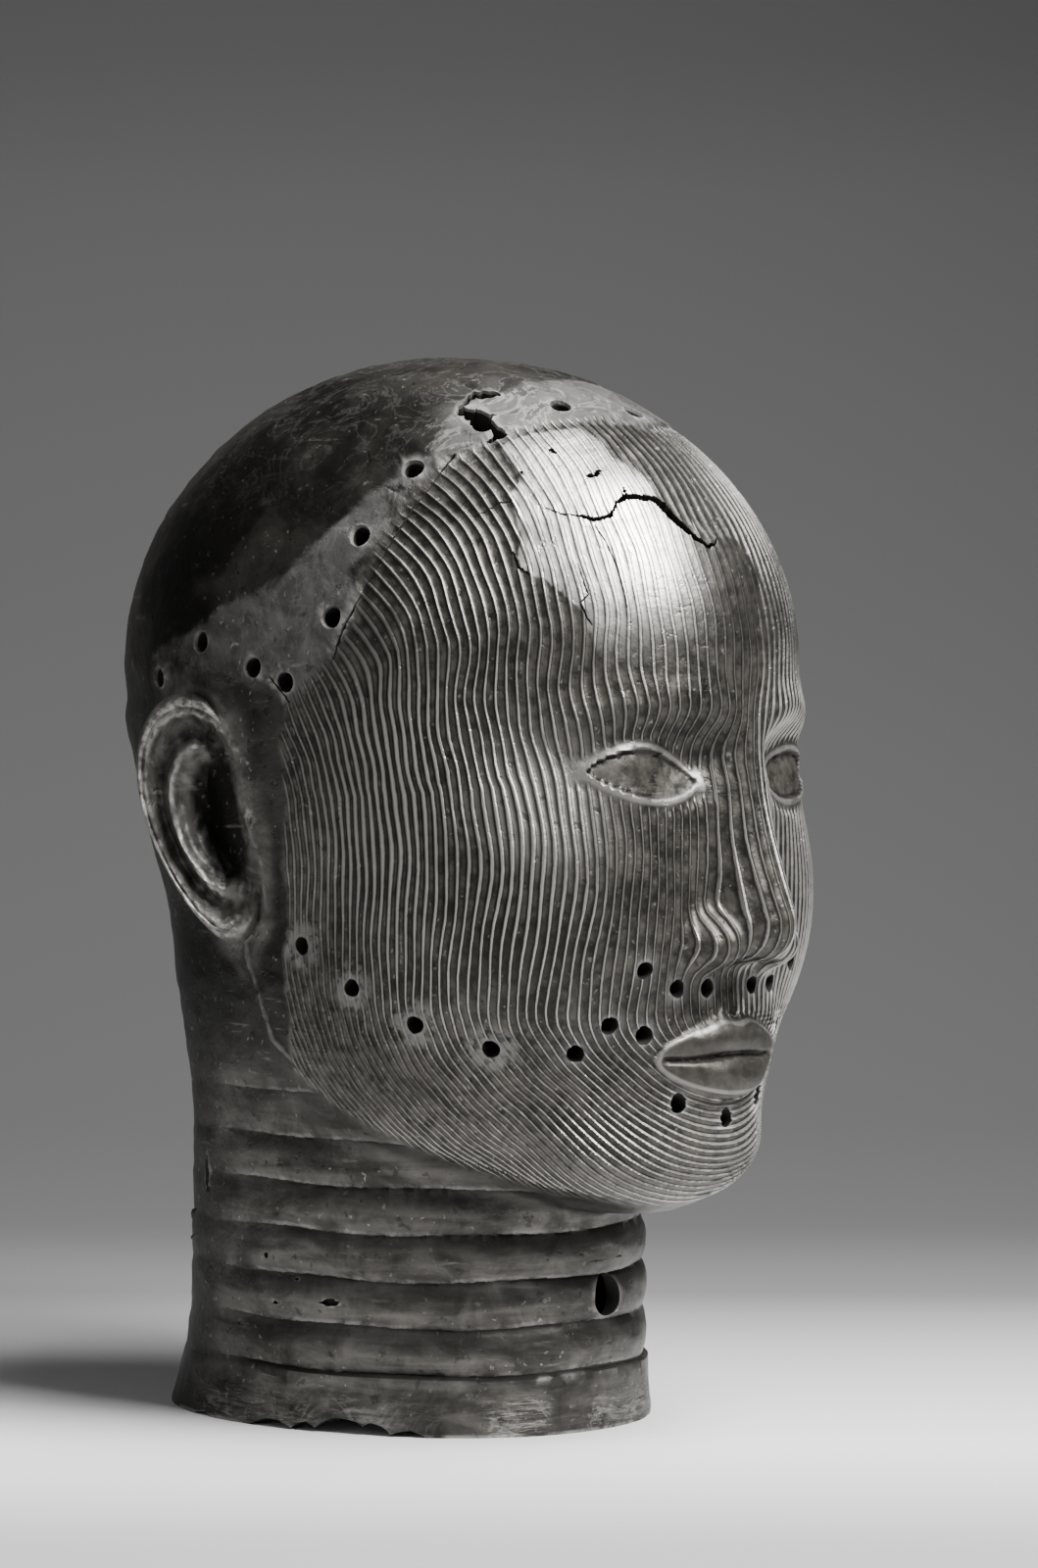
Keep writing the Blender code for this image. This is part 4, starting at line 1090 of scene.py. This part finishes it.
def build_head():
    """The whole casting: shell and ears joined, hollowed, cut off at the rim, bored and broken."""
    head = thin(head_shell(), SHELL_TRIANGLES)
    for side in (-1, 1):
        combine(head, thin(ear(side), EAR_TRIANGLES), "UNION")
    combine(head, ground())
    combine(head, thin(hollow(), CORE_TRIANGLES))
    hair = [(place, HAIR_HOLE / 2) for place in (*hairline_holes(), *over_ear_holes())]
    beard = [(place, BEARD_HOLE / 2) for place in beard_holes()]
    shapes, throat = bores(hair, beard)
    combine(head, joined("bores", shapes))
    for part in breaks():
        combine(head, joined("break", [part]))
    measure_surface(head, hair + beard + [(throat, NECK_HOLE / 2)])
    spots = read(head.data.vertices, "co")
    spots[:, 1] += FORM_SHIFT * UNIT
    head.data.vertices.foreach_set("co", spots.ravel())
    head.data.update()
    head.data.shade_smooth()
    head.data.set_sharp_from_angle(angle=SHARP_ANGLE)
    return head


class Coat:
    """A new material, and short calls that add nodes to it. base is its colour so far."""

    def __init__(self, name):
        self.material = bpy.data.materials.new(name)
        self.material.use_nodes = True
        self.tree = self.material.node_tree
        self.shader = self.tree.nodes["Principled BSDF"]
        self.base = None
        self.place = self.node("TexCoord")["Object"]

    def give(self, node, inputs):
        """Give a node its inputs: a socket is linked and a value is set."""
        for key, value in inputs.items():
            if isinstance(value, bpy.types.NodeSocket):
                self.tree.links.new(value, node.inputs[key])
            else:
                node.inputs[key].default_value = value

    def node(self, kind, inputs=None, **settings):
        """Add a node, set its properties, give its inputs, and return its outputs."""
        node = self.tree.nodes.new("ShaderNode" + kind)
        for key, value in settings.items():
            setattr(node, key, value)
        self.give(node, inputs or {})
        return node.outputs

    def measured(self, name):
        """One of the surface's measured fields."""
        return self.node("Attribute", attribute_name=name)["Fac"]

    def math(self, operation, *values):
        """A Math node on one or two values."""
        return self.node("Math", dict(enumerate(values)), operation=operation)[0]

    def add(self, a, b):
        """The sum of two values."""
        return self.math("ADD", a, b)

    def product(self, result, *values):
        """Values multiplied together."""
        for value in values:
            result = self.math("MULTIPLY", result, value)
        return result

    def larger(self, a, b):
        """The larger of two values."""
        return self.math("MAXIMUM", a, b)

    def apart(self, a, b):
        """How far two values lie apart."""
        return self.math("ABSOLUTE", self.math("SUBTRACT", a, b))

    def ramp(self, value, low, high, start=0.0, end=1.0):
        """Start at low, end at high, and a smooth rise between them."""
        inputs = {"Value": value, "From Min": low, "From Max": high, "To Min": start, "To Max": end}
        return self.node("MapRange", inputs, interpolation_type="SMOOTHSTEP", clamp=True)["Result"]

    def mapped(self, scale, turned=(0.0, 0.0, 0.0)):
        """The place, turned and stretched."""
        return self.node("Mapping", {"Vector": self.place, "Scale": scale, "Rotation": turned})[0]

    def noise(self, scale, detail, roughness=0.6, distortion=0.0, place=None):
        """Noise from 0 to 1 on a place."""
        inputs = {"Vector": self.place if place is None else place, "Scale": scale, "Detail": detail,
                  "Roughness": roughness, "Distortion": distortion}
        return self.node("TexNoise", inputs)["Fac"]

    def shaken(self, value, cloud, by):
        """A distance moved to and fro by a noise, by at most half of a length."""
        return self.add(value, self.product(self.math("SUBTRACT", cloud, 0.5), by))

    def blend(self, share, first, second):
        """Mix two colours by a share."""
        return self.node("Mix", {0: share, 6: first, 7: second}, data_type="RGBA")[2]

    def paint(self, tone, *shares):
        """Lay a tone over the colour so far, by the product of some shares."""
        self.base = self.blend(self.product(*shares), self.base, tone)


def warm(grey, warmth=1.0):
    """A dark bronze tint of a grey: red a little over it and blue under it."""
    return (grey * (1 + 0.08 * warmth), grey, grey * (1 - 0.13 * warmth), 1.0)


def read_fields(coat):
    """What several layers read: axes, noises, measured fields, and the way from a flute's ridge."""
    ramp, product, noise, measured = coat.ramp, coat.product, coat.noise, coat.measured
    axes = coat.node("SeparateXYZ", {0: coat.place})
    coat.deep, coat.high = axes["Y"], axes["Z"]
    coat.field, coat.face = measured("flute_field"), measured("face")
    coat.hole, coat.ear = measured("hole"), measured("ear")
    coat.cloudy = noise(20, 5, 0.6, 0.4)
    coat.mottled = noise(75, 6, 0.65, 0.6)
    coat.fine = noise(330, 4)
    coat.swirl = noise(42, 5, 0.6, 2.2)
    coat.streaks = coat.mapped((30.0, 30.0, 190.0))
    coat.flakes = noise(4.0, 5, 0.7, 1.0, coat.streaks)
    coat.vein = ramp(coat.apart(coat.swirl, 0.5), 0.030, 0.004)
    coat.speck = ramp(noise(480, 2, 0.5), 0.66, 0.74)
    coat.pock = ramp(noise(250, 3), 0.62, 0.70)
    count = coat.add(measured("flute"), product(coat.fine, 0.12))
    off_ridge = coat.apart(count, coat.math("ROUND", count))
    coat.off_ridge = coat.math("DIVIDE", off_ridge, measured("flute_width"))
    coat.on_flutes = ramp(coat.add(coat.field, product(coat.mottled, 1.2)), 0.2, 1.6)
    coat.ridge = product(ramp(coat.off_ridge, 1.25, 0.5), coat.on_flutes)
    # The polished brow, faded where its painted highlight falls off.
    polish = ramp(coat.shaken(measured("polish"), coat.mottled, 2.2), -0.2, 0.3)
    coat.bright = product(polish, measured("painted_highlight_fade"))
    coat.crown = ramp(coat.shaken(measured("crown"), coat.mottled, 7.0), -5.0, 4.0)
    coat.within = product(measured("cut"), ramp(measured("depth"), 0.1, 0.6))
    coat.neck = ramp(coat.high, 0.108, 0.088)
    coat.low = product(ramp(coat.high, 0.014, 0.004), ramp(coat.cloudy, 0.42, 0.56))


def paint_grounds(coat):
    """Ground tones: the veined cranium, painted shade on the lower sides and at the back of the neck, the
    dusty neck, and the face with its worn and painted light and painted shade.
    """
    ramp, paint, blend, add = coat.ramp, coat.paint, coat.blend, coat.add
    clouds = ramp(add(coat.cloudy, coat.product(coat.mottled, 0.5)), 0.6, 0.95)
    coat.base = blend(clouds, warm(0.008), warm(0.050))
    paint(warm(0.26, 0.5), coat.vein, ramp(coat.high, 0.24, 0.29), 0.16)
    # Painted shade: the head darkens below 185 mm and is fully dark by 150 mm, as its lower sides lie in
    # shade.
    paint(warm(0.005), ramp(coat.high, 0.185, 0.150), ramp(coat.cloudy, 0.3, 0.55, 0.85, 0.6))
    dusty = add(coat.noise(1.0, 5, 0.6, 0.5, coat.streaks), coat.mottled)
    neck = blend(ramp(dusty, 0.75, 1.3), warm(0.024), warm(0.105, 0.7))
    # The neck's dusty tone, darkened at its back by painted shade.
    paint(blend(ramp(coat.deep, 0.035, 0.075), neck, warm(0.012)), coat.neck)
    wear_and_light_zone = coat.measured("wear_and_light_zone")
    face = blend(ramp(add(coat.fine, coat.mottled), 0.75, 1.3), warm(0.018), warm(0.092))
    # Worn metal and painted highlights where the field rises, painted shade where it falls.
    face = blend(coat.product(ramp(wear_and_light_zone, 0.0, 0.9), 0.75), face, warm(0.21, 0.6))
    face = blend(coat.product(ramp(wear_and_light_zone, 0.0, -0.9), 0.6), face, warm(0.014))
    paint(face, ramp(coat.face, -1.5, 0.5))


def paint_ears(coat):
    """The ears, their bowls darkened by painted shade and dirt and their rims lightened by wear and a painted
    highlight, the skin in front of them, and the light seams.
    """
    ramp, paint, blend, shaken = coat.ramp, coat.paint, coat.blend, coat.shaken
    skin = blend(ramp(coat.mottled, 0.3, 0.7), warm(0.030), warm(0.15, 0.6))
    paint(skin, ramp(shaken(coat.ear, coat.cloudy, 0.7), 1.35, 0.95))
    before = blend(coat.fine, warm(0.022), warm(0.055, 0.6))
    heights = ramp(coat.high, 0.160, 0.175), ramp(coat.high, 0.212, 0.200)
    paint(before, ramp(coat.face, 0.0, -1.5), ramp(coat.deep, 0.014, 0.004), *heights, 0.8)
    front = coat.measured("ear_front")
    # Painted shade and dirt in the ears' bowls.
    paint(warm(0.006), ramp(shaken(front, coat.mottled, 1.8), 1.3, -0.8))
    # Worn rims with a painted highlight on the ears' highest ridges.
    top = ramp(shaken(front, coat.mottled, 1.6), 2.6, 4.0)
    paint(warm(0.34, 0.5), top, ramp(coat.fine, 0.35, 0.6), 0.85)
    seam = ramp(shaken(coat.measured("seam"), coat.mottled, 2.4), 1.1, 0.2)
    paint(warm(0.13, 0.5), seam, ramp(coat.face, 0.5, -0.5), ramp(coat.fine, 0.3, 0.6, 0.5, 0.9))


def paint_crusts(coat):
    """The light crust behind the hairline and round holes, the dark arc over the ears, and the bare crown."""
    ramp, paint, blend, shaken = coat.ramp, coat.paint, coat.blend, coat.shaken
    edge = shaken(shaken(coat.measured("crust"), coat.cloudy, 16.0), coat.mottled, 7.0)
    halo = ramp(coat.add(coat.hole, coat.product(coat.mottled, 6.0)), 7.0, 3.6)
    coat.crust = coat.larger(ramp(edge, -1.2, 2.0), coat.product(halo, 0.9))
    tone = blend(ramp(coat.mottled, 0.3, 0.75), warm(0.032, 0.5), warm(0.110, 0.4))
    paint(blend(coat.product(coat.vein, 0.14), tone, warm(0.24, 0.4)), coat.crust)
    arc = ramp(coat.ear, 1.02, 1.10), ramp(coat.ear, 1.52, 1.34), ramp(coat.high, 0.192, 0.202)
    paint(warm(0.012), *arc, ramp(coat.mottled, 0.3, 0.6, 0.9, 0.5))
    tone = blend(ramp(coat.swirl, 0.35, 0.65), warm(0.035, 0.5), warm(0.115, 0.5))
    tone = blend(coat.product(coat.vein, 0.5), tone, warm(0.34, 0.4))
    paint(tone, coat.crown, ramp(coat.mottled, 0.3, 0.6, 0.5, 1.0))


def paint_wear(coat):
    """Scrapes and pocks, light ridges that painted shade darkens on the far brow, the polished brow with a
    painted highlight fading across it, grooves beside the ridges, and crusts by holes.
    """
    ramp, paint, product, noise = coat.ramp, coat.paint, coat.product, coat.noise
    mottled, fine, off_ridge = coat.mottled, coat.fine, coat.off_ridge
    streak = ramp(noise(1.0, 4, place=coat.mapped((60.0, 60.0, 420.0), (0.0, 0.35, 0.6))), 0.62, 0.78)
    scrape = coat.larger(coat.speck, streak)
    paint(warm(0.30, 0.5), scrape, ramp(coat.field, 0.0, -3.0), ramp(coat.cloudy, 0.4, 0.6, 0.3, 1.0), 0.55)
    paint(warm(0.008), coat.pock, 0.55)
    # Worn ridges, darkened on the far brow by painted shade.
    ridge_tone = coat.blend(coat.measured("ridge_light"), warm(0.0), warm(1.0, 0.5))
    paint(ridge_tone, coat.ridge, ramp(coat.cloudy, 0.35, 0.6, 0.55, 1.0), 0.9)
    # Polished metal on the brow, with its brightness shaped as a painted highlight.
    paint(coat.blend(ramp(mottled, 0.32, 0.62), warm(0.40, 0.4), warm(0.74, 0.4)), coat.bright)
    paint(warm(0.36, 0.5), coat.speck, ramp(coat.field, 0.0, 2.0), 0.35)
    foot = product(ramp(off_ridge, 0.85, 1.25), ramp(off_ridge, 2.6, 1.4), coat.on_flutes)
    paint(warm(0.014), foot, ramp(off_ridge, 2.0, 1.3, 0.75, 1.0), 0.85)
    groove = ramp(off_ridge, 1.0, 1.4), ramp(off_ridge, 3.0, 2.0)
    paint(warm(0.06), coat.bright, *groove, ramp(fine, 0.3, 0.5, 0.4, 0.9))
    rosette = ramp(coat.add(coat.measured("row_hole"), product(mottled, 7.0)), 9.5, 6.0)
    paint(warm(0.20, 0.5), rosette, ramp(fine, 0.36, 0.54), 0.75)
    paint(warm(0.24, 0.5), ramp(coat.hole, 1.3, 0.5), ramp(mottled, 0.35, 0.6), 0.5)


def paint_edges(coat):
    """Edges of the lids and lips, painted shade in the lids' creases, hollows darkened by painted shade and
    dirt, and light crests off the face.
    """
    ramp, paint, mottled = coat.ramp, coat.paint, coat.mottled
    uneven = ramp(mottled, 0.3, 0.5, 0.4, 1.0)
    lid, lip, hollow_by = coat.measured("lid"), coat.measured("lip"), coat.measured("cavity")
    # Painted shade in the crease between lid and eyeball.
    paint(warm(0.014), ramp(lid, -0.9, -0.1), ramp(lid, 1.0, 0.2), 0.8)
    paint(warm(0.30, 0.5), ramp(lid, 0.6, 1.3), ramp(lid, 3.0, 1.9), uneven, 0.6)
    paint(coat.blend(mottled, warm(0.03), warm(0.085)), ramp(lip, -0.3, 0.3), 0.6)
    paint(warm(0.28, 0.5), ramp(lip, -0.4, 0.2), ramp(lip, 1.4, 0.6), uneven, 0.6)
    # Painted shade and dirt in the hollows.
    paint(warm(0.016), ramp(hollow_by, 0.05, 0.28), 0.7)
    off_face = ramp(coat.field, 0.5, -0.5)
    paint(warm(0.34, 0.5), ramp(hollow_by, -0.06, -0.24), off_face, ramp(coat.high, 0.006, 0.010), 0.45)


def paint_neck(coat):
    """Painted shade and painted highlight lines across the neck's rings, the flaked rim, and the rough metal
    inside the wall.
    """
    ramp, paint, product, mottled = coat.ramp, coat.paint, coat.product, coat.mottled
    ring = coat.measured("ring")
    share = coat.math("FRACT", coat.shaken(ring, coat.fine, 0.10))
    ends = ramp(ring, -0.2, -0.05), ramp(ring, 7.2, 6.2), ramp(coat.deep, 0.055, 0.02)
    on_rings = product(*ends, coat.neck, ramp(coat.face, -0.2, -1.2))
    # Painted light across each ring: shade over its upper part, a highlight line near its foot, and deep
    # shade just under the crease above.
    paint(warm(0.028, 0.5), ramp(share, 0.35, 0.95), on_rings, 0.65)
    paint(warm(0.22, 0.5), ramp(share, 0.11, 0.03), on_rings, ramp(mottled, 0.42, 0.6), 0.5)
    paint(warm(0.012), ramp(share, 0.90, 0.985), on_rings, 0.75)
    paint(warm(0.30, 0.5), coat.low, coat.vein, 0.3)
    paint(warm(0.26, 0.5), coat.low, ramp(coat.flakes, 0.54, 0.60), 0.5)
    paint(warm(0.012), coat.low, ramp(coat.flakes, 0.46, 0.38), 0.8)
    paint(warm(0.34, 0.5), ramp(coat.high, 0.0012, 0.0004), ramp(mottled, 0.42, 0.58), 0.7)
    paint(coat.blend(mottled, warm(0.004), warm(0.020, 0.5)), coat.within)


def finish_surface(coat):
    """How metallic, rough and uneven the bronze is."""
    ramp, product, add, crust = coat.ramp, coat.product, coat.add, coat.crust
    metal = add(product(coat.larger(coat.bright, product(coat.ridge, 0.7)), 0.27), 0.66)
    metal = product(metal, ramp(crust, 0.0, 1.0, 1.0, 0.5), ramp(coat.within, 0.0, 1.0, 1.0, 0.1))
    rough = add(add(product(coat.fine, 0.12), 0.36), product(crust, 0.20))
    relief = add(product(coat.mottled, 0.45), product(coat.fine, 0.22))
    for layer in (
        product(coat.noise(1100, 3), 0.06),
        product(coat.larger(crust, coat.crown), coat.swirl, 0.6),
        product(coat.pock, -0.12),
        product(coat.low, coat.flakes, 1.5),
    ):
        relief = add(relief, layer)
    bumps = coat.node("Bump", {"Height": relief, "Distance": 0.0008, "Strength": 0.85})
    coat.give(coat.shader, {"Base Color": coat.base, "Metallic": metal, "Specular IOR Level": 0.35,
                            "Roughness": add(rough, product(coat.within, 0.4)), "Normal": bumps["Normal"]})


def bronze():
    """Dark bronze: satin patina, light crusts behind the hairline and round holes, metal worn bright, and
    painted highlights and shade.
    """
    coat = Coat("dark_bronze_patina")
    read_fields(coat)
    for paint in (paint_grounds, paint_ears, paint_crusts, paint_wear, paint_edges, paint_neck):
        paint(coat)
    finish_surface(coat)
    return coat.material


def backdrop_material():
    """Matt grey paper with painted light and shade along the sheet."""
    coat = Coat("studio_paper")
    tone = coat.node("Attribute", attribute_name="tone")["Color"]
    coat.give(coat.shader, {"Base Color": tone, "Roughness": 0.9, "Specular IOR Level": 0.1})
    return coat.material


# The camera stands on the head's right front, level, at about the height of the eyes
VIEW_TURN = math.radians(-50)
VIEW_DISTANCE = 1.15
LENS = 91.6
FRAME_HEIGHT = 36.0
VIEW_RIGHT = Vector((math.cos(VIEW_TURN), math.sin(VIEW_TURN), 0))
VIEW_BACK = Vector((math.sin(VIEW_TURN), -math.cos(VIEW_TURN), 0))
VIEW_POINT = Vector((0, (NECK_CENTRE + FORM_SHIFT) * UNIT, 0.178)) + VIEW_RIGHT * 0.0292
LIT_POINT = Vector((0, 0, 0.17))  # the lamps face it


# Painted light of the paper by the way along it from under the head, in metres: a painted pool of light on
# the bright floor, then darker by painted shade
PAPER_WAY = (-1.6, -0.21, -0.08, 0.06, 0.24, 0.46, 0.60, 0.735, 0.875, 1.0, 1.113, 1.223, 1.31, 1.8)
PAPER_PAINTED_LIGHT = (0.40, 0.40, 0.80, 0.52, 0.18, 0.113, 0.096, 0.096, 0.097, 0.096, 0.097, 0.095, 0.078, 0.07)
PAPER_ACROSS = (1.07, 1.07, 0.90, 0.90)  # share of that painted light at four places from left to right


def backdrop(bend=0.55, behind=0.42, before=1.6, half=3.0):
    """A sheet of paper in one sweep: flat floor, a quarter bend behind the head, and an upright wall."""
    way = np.linspace(-before, 2.4, 161)
    turn = np.clip((way - behind) / bend, 0, math.pi / 2)
    past = np.maximum(way - behind - bend * math.pi / 2, 0)
    run = np.minimum(way, behind) + bend * np.sin(turn)
    rise = bend * (1 - np.cos(turn)) + past
    run, sideways = np.meshgrid(run, [-half, -0.26, 0.26, half], indexing="ij")
    points = np.array(VIEW_POINT) * (1, 1, 0) + sideways[..., None] * np.array(VIEW_RIGHT)
    points = points - run[..., None] * np.array(VIEW_BACK)
    points[..., 2] = rise[:, None]
    rows, columns = points.shape[:2]
    i = np.arange(rows - 1)[:, None] * columns + np.arange(columns - 1)[None, :]
    faces = np.stack([i, i + 1, i + columns + 1, i + columns], -1).reshape(-1, 4)
    obj = write_mesh("studio_backdrop", points.reshape(-1, 3) / UNIT, [faces])
    # The paper's painted light and shade.
    store(obj.data, "tone", np.outer(np.interp(way, PAPER_WAY, PAPER_PAINTED_LIGHT), PAPER_ACROSS).ravel())
    obj.data.materials.clear()
    obj.data.materials.append(backdrop_material())
    return obj


def aimed(data, place, aim):
    """Put a lamp or a camera at a place, facing a point."""
    obj = bpy.data.objects.new(data.name, data)
    obj.location = place
    obj.rotation_euler = (Vector(aim) - Vector(place)).to_track_quat("-Z", "Y").to_euler()
    bpy.context.scene.collection.objects.link(obj)
    return obj


def lamp(name, right, back, up, size, power, spread=180.0):
    """A square soft light that faces the head from so far right of it, in front of it and above it."""
    data = bpy.data.lights.new(name, "AREA")
    data.size = size
    data.energy = power
    data.spread = math.radians(spread)
    aimed(data, LIT_POINT + VIEW_RIGHT * right + VIEW_BACK * back + Vector((0, 0, up)), LIT_POINT)


def camera():
    """The photograph's camera: level, 1.15 m from the head, with a 91.6 mm lens on a 36 mm tall frame."""
    data = bpy.data.cameras.new("camera")
    data.lens = LENS
    data.sensor_width = FRAME_HEIGHT
    bpy.context.scene.camera = aimed(data, VIEW_POINT + VIEW_BACK * VIEW_DISTANCE, VIEW_POINT)


def lights():
    """A soft key from the right front, a larger one overhead, a weak fill from the left, and dim air."""
    lamp("key", 0.70, 0.56, 0.86, 0.50, 15, 120)
    lamp("overhead", 0.47, 0.20, 1.09, 0.65, 15, 120)
    lamp("fill", -0.9, 1.1, 0.35, 1.2, 4)
    world = bpy.data.worlds.new("studio_air")
    world.use_nodes = True
    air = world.node_tree.nodes["Background"].inputs
    air["Color"].default_value = (0.5, 0.5, 0.5, 1)
    air["Strength"].default_value = 0.22
    bpy.context.scene.world = world


def main():
    """Camera, head, backdrop and lights."""
    camera()
    head = build_head()
    head.data.materials.clear()
    head.data.materials.append(bronze())
    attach(head, "root")
    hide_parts("head_casting")
    backdrop()
    lights()


main()
